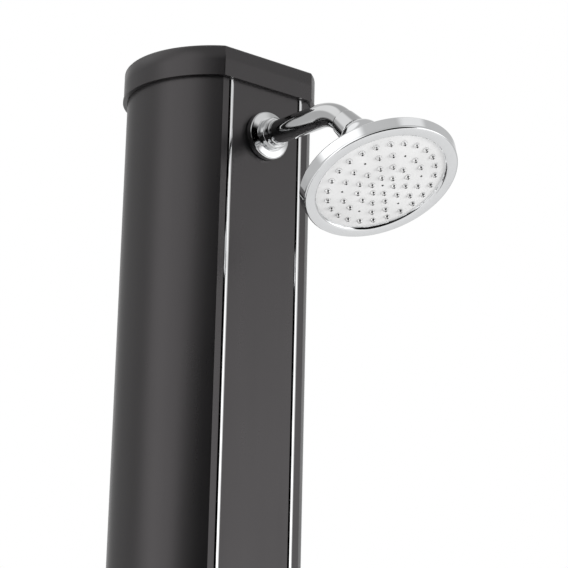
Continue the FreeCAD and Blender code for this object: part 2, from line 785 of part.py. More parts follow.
def make_ball_joint():
    """All three pieces lie on the arm's sloping end, measured from the corner of its axis.
    The nut's end is hollowed round the ball, so that the head's housing turns in it."""
    bore = "size.arm_radius"
    tip = "(size.ball_stem + size.run_gap)"
    chamber = "(size.ball_collar + size.run_gap)"
    mouth = f"sqrt({SOCKET}^2 - (size.ball_distance - {NUT_END})^2)"
    turned("swivel_nut", [
        (bore, "size.nut_start"),
        ("size.nut_start_radius", "size.nut_start"),
        ("size.nut_start_radius + 0.3", "size.nut_start + 1"),
        ("size.nut_end_radius", f"{NUT_END} - 0.5"),
        ("size.nut_end_radius - 0.3", NUT_END),
        (mouth, NUT_END),
        (tip, LIP_END),
        (tip, f"{COLLAR_END} + size.run_gap"),
        (chamber, f"{COLLAR_END} + size.run_gap"),
        (chamber, f"{COLLAR_START} - size.run_gap"),
        (bore, f"{COLLAR_START} - size.run_gap"),
    ], {5: (SOCKET, 1)}, ARM_CORNER, ARM_HEIGHT, ARM_TURN)
    arm_end = "(size.nut_start + size.arm_thread)"
    washer(
        "swivel_seal", "size.arm_bore", "size.arm_radius",
        f"({COLLAR_START} - {arm_end} - size.run_gap)",
        f"{ARM_CORNER} + {arm_end} * cos(size.arm_bend)",
        f"{ARM_HEIGHT} - {arm_end} * sin(size.arm_bend)", ARM_TURN)
    meet = "(size.ball_distance - sqrt(size.ball_radius^2 - size.ball_stem^2))"
    mouth = "(size.ball_distance + sqrt(size.ball_radius^2 - size.ball_stem^2))"
    turned("swivel_ball", [
        ("size.ball_bore", COLLAR_START),
        ("size.ball_collar", COLLAR_START),
        ("size.ball_collar", COLLAR_END),
        ("size.ball_stem", COLLAR_END),
        ("size.ball_stem", meet),
        ("size.ball_radius", "size.ball_distance"),
        ("size.ball_stem", mouth),
        ("size.ball_bore", mouth),
    ], {4: ("size.ball_radius", 1), 5: ("size.ball_radius", 1)},
        ARM_CORNER, ARM_HEIGHT, ARM_TURN)


# ---------------------------------------------------------------- head

RING_INNER = "(size.head_radius - size.ring_width)"
FACE_FRONT = "(size.head_depth - size.face_recess)"
FACE_BACK = "(size.head_depth - size.face_recess - size.face_thickness)"
MAT_BACK = f"({FACE_BACK} - size.mat_thickness)"
DOME_EDGE = f"({RING_INNER} - size.slip_gap)"
DOME_RADIUS = f"(({DOME_EDGE}^2 + size.face_dome^2) / (2 * size.face_dome))"
HEAD_BACK = "(size.head_depth - size.head_rim)"
CUP_INNER = "(size.ball_radius + size.run_gap)"
CUP_OUTER = "(size.ball_radius + size.run_gap + size.cup_wall)"


def around_ball(radius, angle):
    """A point of a circle about the ball, the angle in degrees from the stem's side."""
    return f"{radius} * sin({angle})", f"0 - {radius} * cos({angle})"


def make_head():
    """The shell with its ball housing, the cup that grips the ball, the ring behind it and the
    front ring, all turned about the spray's axis and measured from the ball."""
    outer = "size.housing_radius"
    wall = "size.head_wall"
    lip_outer = "(asin((size.ball_stem + 0.3) / size.housing_radius) / 1deg + size.tilt_each_way)"
    lip_inner = f"(asin((size.ball_stem + 0.3) / {CUP_INNER}) / 1deg + size.tilt_each_way)"
    turned("head_shell", [
        around_ball(CUP_OUTER, lip_inner),
        around_ball(outer, lip_outer),
        (outer, "0"),
        ("size.neck_radius", "size.neck_depth"),
        ("size.shoulder_radius", "size.shoulder_depth"),
        ("size.head_back_radius - 4", f"{HEAD_BACK} - 1.5"),
        ("size.head_back_radius", f"{HEAD_BACK} + 1.5"),
        ("size.head_radius", "size.head_depth - size.ring_thickness"),
        (f"size.head_radius - {wall}", "size.head_depth - size.ring_thickness"),
        (f"size.head_back_radius - {wall} - 1", f"{HEAD_BACK} + {wall} + 1"),
        ("size.shoulder_radius - 1", f"size.shoulder_depth + {wall} + 1"),
        (CUP_OUTER, "size.neck_depth + 7"),
        (CUP_OUTER, "0"),
    ], {
        1: (outer, -1),
        3: ("size.neck_curve", 1),
        4: ("size.back_curve", -1),
        5: ("5", -1),
        12: (CUP_OUTER, 1),
    }, BALL_FRONT, BALL_HEIGHT, HEAD_TURN)

    cup_mouth = f"sqrt({CUP_INNER}^2 - size.cup_floor^2)"
    turned("ball_cup", [
        around_ball(CUP_INNER, lip_inner),
        around_ball(CUP_OUTER, lip_inner),
        (CUP_OUTER, "0"),
        (CUP_OUTER, "size.cup_floor"),
        (cup_mouth, "size.cup_floor"),
        (CUP_INNER, "0"),
    ], {
        1: (CUP_OUTER, -1),
        4: (CUP_INNER, 1),
        5: (CUP_INNER, 1),
    }, BALL_FRONT, BALL_HEIGHT, HEAD_TURN)
    washer(
        "cup_ring", f"{cup_mouth} + size.free_gap", CUP_OUTER, "size.cup_ring_height",
        f"{BALL_FRONT} + size.cup_floor * cos(size.head_pitch)",
        f"{BALL_HEIGHT} - size.cup_floor * sin(size.head_pitch)", HEAD_TURN)

    ring_back = "size.head_depth - size.ring_thickness"
    turned("head_ring", [
        (RING_INNER, FACE_FRONT),
        (f"size.head_radius - {wall} - size.slip_gap", FACE_FRONT),
        (f"size.head_radius - {wall} - size.slip_gap", ring_back),
        ("size.head_radius", ring_back),
        ("size.head_radius", "size.head_depth - size.ring_round"),
        ("size.head_radius - size.ring_round", "size.head_depth"),
        (f"{RING_INNER} + size.ring_round", "size.head_depth"),
        (RING_INNER, "size.head_depth - size.ring_round"),
    ], {
        4: ("size.ring_round", -1),
        6: ("size.ring_round", -1),
    }, BALL_FRONT, BALL_HEIGHT, HEAD_TURN)


RINGS = ("one", "two", "three", "four")


def nozzle_places():
    """(x, y) of every nozzle on the head's face. Ring two leaves out one place in three."""
    places = []
    for ring in RINGS:
        radius = worth(f"size.ring_{ring}_radius")
        count = int(worth(f"size.ring_{ring}_count"))
        for number in range(count):
            if ring == "two" and number % 3 == 1:
                continue
            angle = math.radians(worth(f"size.ring_{ring}_start") + 360 * number / count)
            places.append((radius * math.cos(angle), radius * math.sin(angle)))
    return places


def pin_places():
    """(x, y) of the small pins: the places left out of ring two, and the middle."""
    count = int(worth("size.ring_two_count"))
    radius = worth("size.ring_two_radius")
    places = [(0, 0)]
    for number in range(1, count, 3):
        angle = math.radians(worth("size.ring_two_start") + 360 * number / count)
        places.append((radius * math.cos(angle), radius * math.sin(angle)))
    return places


def head_feature(label, shape):
    feature = doc.addObject("Part::Feature", label)
    feature.Label = label
    feature.Shape = shape
    turn = FreeCAD.Rotation(FreeCAD.Vector(1, 0, 0), worth(HEAD_TURN))
    feature.Placement = FreeCAD.Placement(
        FreeCAD.Vector(0, -worth(BALL_FRONT), worth(BALL_HEIGHT)), turn)
    SUBPARTS.append(feature)


def dome_rise(x, y):
    """How far the domed face stands in front of its flat rim at (x, y)."""
    radius = worth(DOME_RADIUS)
    return math.sqrt(radius ** 2 - x ** 2 - y ** 2) - radius + worth("size.face_dome")


def domed_disc(back, front, edge):
    """A disc about the spray's axis with a flat rim and a middle that is domed forwards."""
    rim = worth(DOME_EDGE)
    dome = worth("size.face_dome")
    sides = []
    for level in (back, front):
        top = FreeCAD.Vector(0, 0, level + dome)
        middle = FreeCAD.Vector(rim / 2, 0, level + dome_rise(rim / 2, 0))
        sides.append(Part.Arc(top, middle, FreeCAD.Vector(rim, 0, level)).toShape())
        sides.append(Part.makeLine(FreeCAD.Vector(rim, 0, level), FreeCAD.Vector(edge, 0, level)))
    sides.append(Part.makeLine(FreeCAD.Vector(edge, 0, back), FreeCAD.Vector(edge, 0, front)))
    sides.append(Part.makeLine(FreeCAD.Vector(0, 0, back + dome), FreeCAD.Vector(0, 0, front + dome)))
    outline = Part.Wire(Part.__sortEdges__(sides))
    return Part.Face(outline).revolve(FreeCAD.Vector(), FreeCAD.Vector(0, 0, 1), 360)


def make_face():
    """The domed nozzle plate, the soft mat behind it whose nozzles come through, and the pins."""
    up = FreeCAD.Vector(0, 0, 1)
    face_back = worth(FACE_BACK)
    face_front = worth(FACE_FRONT)
    through = worth("size.head_depth")
    pin = worth("size.pin_radius")
    nozzle = worth("size.nozzle_base")
    hole = nozzle + worth("size.slip_gap") / 2
    holes = []
    for radius, places in ((hole, nozzle_places()), (pin, pin_places())):
        for x, y in places:
            holes.append(Part.makeCylinder(radius, through, FreeCAD.Vector(x, y, face_back / 2), up))
    plate = domed_disc(
        face_back, face_front, worth("size.head_radius - size.head_wall - size.slip_gap"))
    head_feature("nozzle_plate", plate.cut(Part.makeCompound(holes)))

    rooted = worth("size.mat_thickness / 2")
    nubs = []
    for x, y in nozzle_places():
        front = face_front + dome_rise(x, y)
        root = FreeCAD.Vector(x, y, front - worth("size.face_thickness") - rooted)
        nubs.append(Part.makeCylinder(nozzle, worth("size.face_thickness") + rooted, root, up))
        nubs.append(Part.makeCone(
            nozzle, worth("size.nozzle_tip"), worth("size.nozzle_height"), FreeCAD.Vector(x, y, front), up))
    bores = []
    for radius, places in ((worth("size.nozzle_bore"), nozzle_places()), (pin, pin_places())):
        for x, y in places:
            bores.append(Part.makeCylinder(radius, through, FreeCAD.Vector(x, y, face_back / 2), up))
    mat = domed_disc(worth(MAT_BACK), face_back, worth(RING_INNER))
    head_feature("nozzle_mat", mat.multiFuse(nubs).cut(Part.makeCompound(bores)).removeSplitter())

    pins = []
    length = worth("size.mat_thickness + size.face_thickness + size.pin_proud")
    for x, y in pin_places():
        foot = FreeCAD.Vector(x, y, worth(MAT_BACK) + dome_rise(x, y))
        pins.append(Part.makeCylinder(pin, length, foot, up))
    head_feature("face_pins", Part.makeCompound(pins))


# ---------------------------------------------------------------- mixer

MIXER_SEAT = "(size.sleeve_front - size.retainer_height - size.cartridge_height)"
PIVOT = f"{FRONT} + size.mixer_pivot"
ROTOR_POCKET = "(size.rotor_height + size.run_gap)"


def make_mixer_body():
    """The brass body behind and through the front: cold comes from below, hot from the side port,
    and the mix leaves above. Each has its own way to the cartridge's seat."""
    body = doc.addObject("Part::Feature", "mixer_body")
    body.Label = "mixer_body"
    front = FreeCAD.Vector(0, -worth(FRONT), 0)
    outwards = FreeCAD.Vector(0, -1, 0)
    up = FreeCAD.Vector(0, 0, 1)
    left = FreeCAD.Vector(-1, 0, 0)
    depth = worth("size.mixer_body_depth")
    sleeve_front = worth("size.sleeve_front")
    barrel = Part.makeCylinder(
        worth("size.mixer_sleeve_radius"), depth + sleeve_front, front - outwards * depth, outwards)
    line = FreeCAD.Vector(0, -worth("size.pipe_line"), 0)
    side = line + left * worth("size.pipe_spacing")
    port = worth("size.mixer_port_radius")
    reach = worth("size.mixer_port_length")
    shape = barrel.multiFuse([
        Part.makeCylinder(port, reach, line, -up),
        Part.makeCylinder(port, reach, line, up),
        Part.makeCylinder(port - 1, worth("size.pipe_spacing"), line, left),
        Part.makeCylinder(port, reach + port, side - up * port, up),
    ])

    seat = worth(MIXER_SEAT)
    cuts = [Part.makeCylinder(
        worth("size.cartridge_radius"), sleeve_front - seat + 1, front + outwards * seat, outwards)]
    bore = worth("size.pipe_bore")
    socket = worth("size.port_socket")
    way_line = worth("size.waterway_line")
    way_radius = worth("size.waterway_radius")
    for foot, way in ((line, -up), (line, up), (side, up)):
        end = foot + way * reach
        cuts.append(Part.makeCylinder(worth(PIPE_HOLE), socket, end - way * socket, way))
    for way in (-up, up):
        cuts.append(Part.makeCylinder(bore, reach, line + way * (way_line - way_radius - 1), way))
    cuts.append(Part.makeCylinder(bore, reach + bore, side - up * bore, up))
    across = worth("size.pipe_spacing - size.waterway_line + size.waterway_radius")
    cuts.append(Part.makeCylinder(bore - 1, across + 1, side, -left))
    for way in (-up, up, left):
        length = worth(f"{FRONT} - size.pipe_line") + seat + 1
        cuts.append(Part.makeCylinder(way_radius, length, line + way * way_line, outwards))
    body.Shape = shape.cut(Part.makeCompound([cuts[0]]).multiFuse(cuts[1:]))
    body.Placement = FreeCAD.Placement(FreeCAD.Vector(0, 0, worth(MIXER)), FreeCAD.Rotation())
    SUBPARTS.append(body)


def make_mixer():
    """Single-lever mixer through the lower tank's front."""
    make_mixer_body()
    turned("mixer_flange", [
        ("size.mixer_sleeve_radius", "0"),
        ("size.mixer_flange_radius", "0"),
        ("size.mixer_flange_radius", "size.mixer_flange_height - 3"),
        ("size.mixer_flange_radius - 3", "size.mixer_flange_height"),
        ("size.mixer_sleeve_radius", "size.mixer_flange_height"),
    ], {2: ("3", -1)}, FRONT, MIXER, "90")
    washer(
        "mixer_inner_nut", "size.mixer_sleeve_radius", "size.mixer_sleeve_radius + 6",
        "size.inner_nut_height", f"{INNER_WALL} - size.inner_nut_height", MIXER, "90")

    rotor_bore = "(size.rotor_radius + size.run_gap)"
    cartridge = turned("mixer_cartridge", [
        ("0", "0"),
        ("size.cartridge_radius", "0"),
        ("size.cartridge_radius", "size.cartridge_height"),
        (rotor_bore, "size.cartridge_height"),
        (rotor_bore, f"size.cartridge_height - {ROTOR_POCKET}"),
        ("0", f"size.cartridge_height - {ROTOR_POCKET}"),
    ], None, f"{FRONT} + {MIXER_SEAT}", MIXER, "90")
    ports = new_sketch(cartridge)
    for across, up in (
        ("0", "size.waterway_line"), ("0", "-size.waterway_line"), ("-size.waterway_line", "0"),
    ):
        draw_circle(ports, across, up, "size.waterway_radius")
    pocket(cartridge, ports, f"size.cartridge_height - {ROTOR_POCKET}", down=False)
    washer(
        "mixer_retainer", "size.retainer_bore", "size.cartridge_radius", "size.retainer_height",
        f"{FRONT} + size.sleeve_front - size.retainer_height", MIXER, "90")
    make_rotor()


def make_rotor():
    """The turning core of the cartridge, its pin across, and the stem that rocks on the pin."""
    rotor_end = "(size.sleeve_front - size.retainer_height - size.mixer_pivot - size.run_gap)"
    rotor_start = f"({rotor_end} - size.rotor_height + size.run_gap)"
    rotor = turned("mixer_rotor", [
        ("0", rotor_start),
        ("size.rotor_radius", rotor_start),
        ("size.rotor_radius", rotor_end),
        ("0", rotor_end),
    ], None, PIVOT, MIXER, "90")
    slot = new_sketch(rotor, level=rotor_end)
    half_width = "(size.stem_radius + size.run_gap)"
    draw_loop(slot, [
        (f"0 - {half_width}", "0 - size.rotor_slot"),
        (half_width, "0 - size.rotor_slot"),
        (half_width, "size.rotor_slot"),
        (f"0 - {half_width}", "size.rotor_slot"),
    ])
    pocket(rotor, slot, "size.rotor_height - size.rotor_floor")
    pin_hole = new_sketch(rotor, "YZ_Plane")
    draw_circle(pin_hole, "0", "0", "size.pivot_pin")
    pocket(rotor, pin_hole, "3 * size.rotor_radius", both_ways=True)

    pin = new_body("stem_pin")
    section = new_sketch(pin, "YZ_Plane")
    draw_circle(section, "0", "0", "size.pivot_pin")
    pad(pin, section, "2 * size.rotor_radius - 1", both_ways=True)
    place(pin, PIVOT, MIXER, "90")

    stem = turned("mixer_stem", [
        ("0", "0 - size.stem_below"),
        ("size.stem_radius - 1", "0 - size.stem_below"),
        ("size.stem_radius", "1 - size.stem_below"),
        ("size.stem_radius", "size.stem_above"),
        ("0", "size.stem_above"),
    ], None, PIVOT, MIXER, "90")
    eye = new_sketch(stem, "YZ_Plane")
    draw_circle(eye, "0", "0", "size.pivot_pin + size.run_gap")
    pocket(stem, eye, "3 * size.stem_radius", both_ways=True)


def make_handle():
    """A round cap over the sleeve's end, hollowed about the pivot so that it clears the sleeve when
    it lifts, with a lever that sweeps down and out, a grub screw and a plug over the screw."""
    body = new_body("mixer_handle")
    rim_in = ("size.handle_inner * sin(size.handle_rim)", "size.handle_inner * cos(size.handle_rim)")
    rim_out = ("size.handle_outer * sin(size.handle_rim)", "size.handle_outer * cos(size.handle_rim)")
    crown_edge = "(size.handle_outer * sin(size.handle_crown))"
    crown_start = "size.handle_outer * cos(size.handle_crown)"
    crown_curve = f"({crown_edge}^2 + size.handle_crown_rise^2) / (2 * size.handle_crown_rise)"
    cone_top = "sqrt(size.handle_inner^2 - size.handle_cone_side^2)"
    revolve(body, [
        rim_in,
        rim_out,
        (crown_edge, crown_start),
        ("0", f"{crown_start} + size.handle_crown_rise"),
        ("0", "size.stem_above"),
        ("size.stem_radius", "size.stem_above"),
        ("size.stem_radius", "size.handle_cone"),
        ("size.handle_cone_side", cone_top),
    ], {
        1: ("size.handle_outer", -1),
        2: (crown_curve, -1),
        7: ("size.handle_inner", 1),
    })
    lever = new_sketch(body, "YZ_Plane")
    draw_loop(lever, [
        ("0 - size.lever_root * sqrt(2)", "size.lever_root"),
        ("0 - size.handle_outer * 0.9", "size.lever_root_low"),
        ("0 - size.lever_length", "size.lever_root_low + size.lever_rise"),
        ("0 - size.lever_length", "size.lever_root_low + size.lever_rise + size.lever_tip"),
    ])
    blade = pad(body, lever, "size.lever_width", both_ways=True)
    tip = worth("size.lever_length")

    def tip_edges(edge):
        x_low, x_high, y_low, y_high, z_low, z_high = edge_box(edge)
        return y_high < -tip + 0.01 and z_high - z_low > 1 and x_high - x_low < 0.01

    rounded = soften(body, blade, "size.lever_width * 0.45", tip_edges)

    def long_edges(edge):
        x_low, x_high, y_low, y_high, z_low, z_high = edge_box(edge)
        return y_high - y_low > tip / 2 and x_high - x_low < 0.01

    soften(body, rounded, "size.lever_edge", long_edges)
    screw_hole = new_sketch(body, "XZ_Plane")
    draw_circle(screw_hole, "0", "size.grub_rise", "size.grub_radius")
    pocket(body, screw_hole, "size.handle_outer")
    place(body, PIVOT, MIXER, "90")

    screw = turned("handle_screw", [
        ("0", "size.stem_radius"),
        ("size.grub_radius", "size.stem_radius"),
        ("size.grub_radius", "size.stem_radius + size.grub_length"),
        ("0", "size.stem_radius + size.grub_length"),
    ], None, f"{PIVOT} + size.grub_rise", MIXER)
    socket = new_sketch(screw, level="size.stem_radius + size.grub_length")
    draw_hexagon(socket, "size.grub_radius")
    pocket(screw, socket, "size.grub_socket")
    turned("handle_plug", [
        ("0", "size.handle_plug_start"),
        ("size.grub_radius", "size.handle_plug_start"),
        ("size.grub_radius", "size.handle_plug_end"),
        ("0", "size.handle_plug_end"),
    ], None, f"{PIVOT} + size.grub_rise", MIXER)


# ---------------------------------------------------------------- pipes


def straight_pipe(label, bottom, top, across):
    turned(label, [
        ("size.pipe_bore", "0"),
        ("size.pipe_radius", "0"),
        ("size.pipe_radius", f"{top} - {bottom}"),
        ("size.pipe_bore", f"{top} - {bottom}"),
    ], None, "size.pipe_line", bottom, None, across)


def make_pipes():
    port_top = f"({MIXER} + size.mixer_port_length - size.port_socket)"
    elbow = "(size.post_height - size.arm_drop - size.elbow_length + size.port_socket)"
    straight_pipe("riser_pipe", port_top, elbow, "0")
    straight_pipe("hot_pipe", port_top, "(size.post_height - size.hot_intake_drop)", "-size.pipe_spacing")
    reach = "(size.joint_band / 2 + size.spigot_length + size.transfer_reach)"
    straight_pipe(
        "transfer_pipe", f"(size.joint_height - {reach})", f"(size.joint_height + {reach})",
        "size.pipe_spacing")

    # the cold pipe runs forward from the hose inlet and bends up to the mixer
    body = new_body("cold_pipe")
    path = new_sketch(body, "YZ_Plane")
    radius = worth("size.pipe_bend")
    start_text = "size.tank_radius - size.inlet_depth + size.port_socket"
    top_text = f"{MIXER} - size.mixer_port_length + size.port_socket - size.inlet_height"
    start = FreeCAD.Vector(worth(start_text), 0, 0)
    corner = FreeCAD.Vector(-worth("size.pipe_line"), 0, 0)
    bend_start = corner + FreeCAD.Vector(radius, 0, 0)
    bend_end = corner + FreeCAD.Vector(0, radius, 0)
    finish = FreeCAD.Vector(corner.x, worth(top_text), 0)
    level = path.addGeometry(Part.LineSegment(start, bend_start))
    curve = path.addGeometry(bulged_arc(bend_start, bend_end, radius, 1))
    rise = path.addGeometry(Part.LineSegment(bend_end, finish))
    forward = path.Geometry[curve].StartPoint.distanceToPoint(bend_start) < 1e-6
    near, far = (1, 2) if forward else (2, 1)
    path.addConstraint(Sketcher.Constraint("Coincident", level, 2, curve, near))
    path.addConstraint(Sketcher.Constraint("Coincident", rise, 1, curve, far))
    pin_point(path, level, 1, start_text, "0")
    pin_point(path, level, 2, "size.pipe_bend - size.pipe_line", "0")
    pin_point(path, rise, 1, "0 - size.pipe_line", "size.pipe_bend")
    pin_point(path, rise, 2, "0 - size.pipe_line", top_text)
    bind(path, Sketcher.Constraint("Radius", curve, radius), "size.pipe_bend")
    section = new_sketch(body, "XZ_Plane", level=f"0 - ({start_text})")
    draw_circle(section, "0", "0", "size.pipe_radius")
    draw_circle(section, "0", "0", "size.pipe_bore")
    tube = body.newObject("PartDesign::AdditivePipe", "cold_pipe_tube")
    tube.Profile = section
    tube.Spine = path
    place(body, height="size.inlet_height")


# ---------------------------------------------------------------- inlet and drain at the back

BACK = "0 - size.tank_radius"
INNER_RADIUS = "(size.tank_radius - size.tank_wall)"


def saddle_seal(label, inner, outer, height):
    """A soft washer, flat outside and curved to the tank's round back inside."""
    seal = washer(label, inner, outer, "2 * size.washer_thickness", f"{BACK} + size.washer_thickness",
                  height, "-90")
    tank = new_sketch(seal, "XZ_Plane")
    draw_circle(tank, "0", "size.washer_thickness - size.tank_radius", "size.tank_radius")
    pocket(seal, tank, f"3 * {outer}", both_ways=True)


def back_nut(label, flats, bore, height):
    """A nut behind the round back, set in until its corners meet the curved wall."""
    corner = f"({flats} / sqrt(3))"
    seat = f"sqrt({INNER_RADIUS}^2 - {corner}^2)"
    hex_nut(label, flats, bore, "size.inner_nut_height", f"size.inner_nut_height - {seat}", height, "-90")


def make_inlet():
    flange = "size.washer_thickness"
    flange_end = f"{flange} + size.inlet_flange"
    barrel = "size.inlet_radius + 1"
    turned("inlet_connector", [
        (PIPE_HOLE, "0 - size.inlet_depth"),
        (barrel, "0 - size.inlet_depth"),
        (barrel, flange),
        ("size.inlet_flange_radius", flange),
        ("size.inlet_flange_radius", f"{flange_end} - 1"),
        ("size.inlet_flange_radius - 1", flange_end),
        ("size.inlet_radius", flange_end),
        ("size.inlet_radius", f"{flange_end} + size.inlet_length"),
        ("size.inlet_bore", f"{flange_end} + size.inlet_length"),
        ("size.inlet_bore", "0 - size.inlet_depth + size.port_socket"),
        (PIPE_HOLE, "0 - size.inlet_depth + size.port_socket"),
    ], None, BACK, "size.inlet_height", "-90")
    saddle_seal("inlet_seal", barrel, "(size.inlet_flange_radius - size.washer_rim)", "size.inlet_height")
    back_nut("inlet_inner_nut", "size.inlet_nut_flats", barrel, "size.inlet_height")


def make_drain():
    head = "size.washer_thickness"
    body = new_body("drain_plug")
    revolve(body, [
        ("0", "0 - size.drain_depth"),
        ("size.drain_radius", "0 - size.drain_depth"),
        ("size.drain_radius", head),
        ("size.drain_head_radius", head),
        ("size.drain_head_radius", f"{head} + size.drain_head - 1.5"),
        ("size.drain_head_radius - 1.5", f"{head} + size.drain_head"),
        ("0", f"{head} + size.drain_head"),
    ])
    slot = new_sketch(body, level=f"{head} + size.drain_head")
    half = "size.drain_slot / 2"
    wide = "size.drain_head_radius - 4"
    draw_loop(slot, [
        (f"0 - ({wide})", f"0 - {half}"),
        (wide, f"0 - {half}"),
        (wide, half),
        (f"0 - ({wide})", half),
    ])
    pocket(body, slot, "size.drain_slot")
    place(body, BACK, "size.drain_height", "-90")
    saddle_seal(
        "drain_seal", "size.drain_radius", "(size.drain_head_radius - size.washer_rim)", "size.drain_height")
    back_nut("drain_boss", "size.drain_boss_flats", "size.drain_radius", "size.drain_height")


# ---------------------------------------------------------------- the whole post

make_foot()
lower_holes = [
    ("front", MIXER, "size.mixer_sleeve_radius + size.slip_gap"),
    ("back", "size.inlet_height", "size.inlet_radius + 1"),
    ("back", "size.drain_height", "size.drain_radius"),
]
make_tank("lower_tank", "size.foot_plate", LOWER_TOP, lower_holes, [FOOT_SCREWS, LOWER_SCREWS])
upper_holes = [("front", ARM_HEIGHT, "size.arm_radius + size.slip_gap")]
make_tank("upper_tank", UPPER_BOTTOM, TANK_TOP, upper_holes, [UPPER_SCREWS])
make_end_plug("lower_tank_floor", "size.foot_plate + size.plug_skirt + 10", False, [])
side_pipes = ["-size.pipe_spacing", "0", "size.pipe_spacing"]
make_end_plug("lower_tank_lid", f"{LOWER_TOP} - size.spigot_length - size.plug_skirt - 1", True, side_pipes)
make_end_plug(
    "upper_tank_floor", f"{UPPER_BOTTOM} + size.spigot_length + size.plug_skirt + 1", False, side_pipes)
make_end_plug("upper_tank_lid", f"{TANK_TOP} - size.plug_skirt", True, [])
make_middle_joint()
make_cap()
for side_name, side_sign in (("left", "-"), ("right", "")):
    make_trim(f"lower_{side_name}_trim", side_sign, "(size.foot_plate + size.foot_socket + 0.5)", LOWER_TOP)
    make_trim(
        f"upper_{side_name}_trim", side_sign, UPPER_BOTTOM,
        "(size.post_height - size.cap_height - 0.5)")
make_arm()
make_arm_fittings()
make_arm_elbow()
make_ball_joint()
make_head()
make_face()
make_mixer()
make_handle()
make_pipes()
make_inlet()
make_drain()

screw_ring("foot_screws", [FOOT_SCREWS], "size.tank_radius + size.slip_gap + size.foot_socket_wall")
screw_ring("joint_screws", [LOWER_SCREWS, UPPER_SCREWS], "size.tank_radius")

doc.recompute()


# ---------------------------------------------------------------- checks and files

faults = []
for thing in doc.Objects:
    if "Invalid" in thing.State or "Error" in thing.State:
        faults.append(f"{thing.Name}: {thing.State}")
for piece in SUBPARTS:
    if piece.Shape.isNull() or not piece.Shape.isValid():
        faults.append(f"{piece.Label}: no valid shape")
    elif not piece.Shape.Solids:
        faults.append(f"{piece.Label}: no solid")
if faults:
    raise SystemExit("\n".join(faults))

os.makedirs("parts", exist_ok=True)
for piece in SUBPARTS:
    piece.Shape.exportStep(f"parts/{piece.Label}.step")
print(len(SUBPARTS), "sub-parts written")
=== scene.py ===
import math

import bmesh
import bpy
from mathutils import Matrix, Vector


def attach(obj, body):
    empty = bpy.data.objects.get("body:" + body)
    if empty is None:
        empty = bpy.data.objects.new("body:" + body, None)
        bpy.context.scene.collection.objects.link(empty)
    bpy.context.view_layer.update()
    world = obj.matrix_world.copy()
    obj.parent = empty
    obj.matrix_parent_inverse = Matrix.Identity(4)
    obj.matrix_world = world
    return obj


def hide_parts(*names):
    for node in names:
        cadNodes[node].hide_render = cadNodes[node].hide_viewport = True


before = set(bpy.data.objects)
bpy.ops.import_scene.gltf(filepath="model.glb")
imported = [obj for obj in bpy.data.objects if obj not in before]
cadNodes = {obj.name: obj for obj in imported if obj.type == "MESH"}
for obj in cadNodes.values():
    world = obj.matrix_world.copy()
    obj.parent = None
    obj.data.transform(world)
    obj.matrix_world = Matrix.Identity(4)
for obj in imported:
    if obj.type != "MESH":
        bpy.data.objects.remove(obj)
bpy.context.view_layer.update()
print("frame loaded:", len(cadNodes), "nodes")


# node trees, for shaders and for geometry
class Wire:
    # one output socket: sums and products of wires become Math nodes
    def __init__(self, graph, socket):
        self.graph = graph
        self.socket = socket

    def maths(self, operation, *values):
        return self.graph.add("ShaderNodeMath", {"operation": operation}, dict(enumerate(values)))

    def __add__(self, other):
        return self.maths("ADD", self, other)

    def __radd__(self, other):
        return self.maths("ADD", other, self)

    def __sub__(self, other):
        return self.maths("SUBTRACT", self, other)

    def __rsub__(self, other):
        return self.maths("SUBTRACT", other, self)

    def __mul__(self, other):
        return self.maths("MULTIPLY", self, other)

    def __rmul__(self, other):
        return self.maths("MULTIPLY", other, self)


class Graph:
    def __init__(self, tree):
        self.tree = tree

    def add(self, kind, settings=None, sockets=None, out=0):
        # settings come first, then the values or links of the sockets; gives one output as a wire
        node = self.tree.nodes.new(kind)
        for name, value in (settings or {}).items():
            if name == "stops":
                while len(node.color_ramp.elements) < len(value):
                    node.color_ramp.elements.new(0.5)
                for element, (place, colour) in zip(node.color_ramp.elements, value):
                    element.position = place
                    element.color = (*colour, 1)
            else:
                setattr(node, name, value)
        for name, value in (sockets or {}).items():
            if isinstance(value, Wire):
                self.tree.links.new(value.socket, node.inputs[name])
            else:
                node.inputs[name].default_value = value
        return Wire(self, node.outputs[out]) if node.outputs else None


# shader building blocks
def noise(graph, place, scale, detail=2.0, roughness=0.5):
    sockets = {"Vector": place, "Scale": scale, "Detail": detail, "Roughness": roughness}
    return graph.add("ShaderNodeTexNoise", None, sockets)


def stretched(graph, place, x, y, z):
    return graph.add("ShaderNodeMapping", None, {"Vector": place, "Scale": (x, y, z)})


def ranged(graph, value, low, high, newLow, newHigh):
    sockets = {"Value": value, "From Min": low, "From Max": high, "To Min": newLow, "To Max": newHigh}
    return graph.add("ShaderNodeMapRange", {"clamp": True}, sockets)


def shades(graph, value, *stops):
    return graph.add("ShaderNodeValToRGB", {"stops": stops}, {"Fac": value})


def bumped(graph, height, distance):
    return graph.add("ShaderNodeBump", None, {"Height": height, "Distance": distance})


def finish(name, fixed, recipe):
    # fixed values go on the shader's own sockets; the recipe gives what varies over the surface
    material = bpy.data.materials.new(name)
    material.use_nodes = True
    material.node_tree.nodes.clear()
    graph = Graph(material.node_tree)
    place = graph.add("ShaderNodeTexCoord", None, None, "Object")
    shader = graph.add("ShaderNodeBsdfPrincipled", None, {**fixed, **recipe(graph, place)})
    graph.add("ShaderNodeOutputMaterial", None, {"Surface": shader})
    return material


# camera: stands at eye level, left of the front, and looks up at the arm
camera = {
    "place": (-1.1323, -1.4824, 1.5017),
    "look": (0.6174, 0.7463, 0.2485),
    "roll": 1.387,      # degrees
    "lens": 119.28,     # millimetres, as is the sensor
    "sensor": 36,
    "farthest": 60,     # metres
}


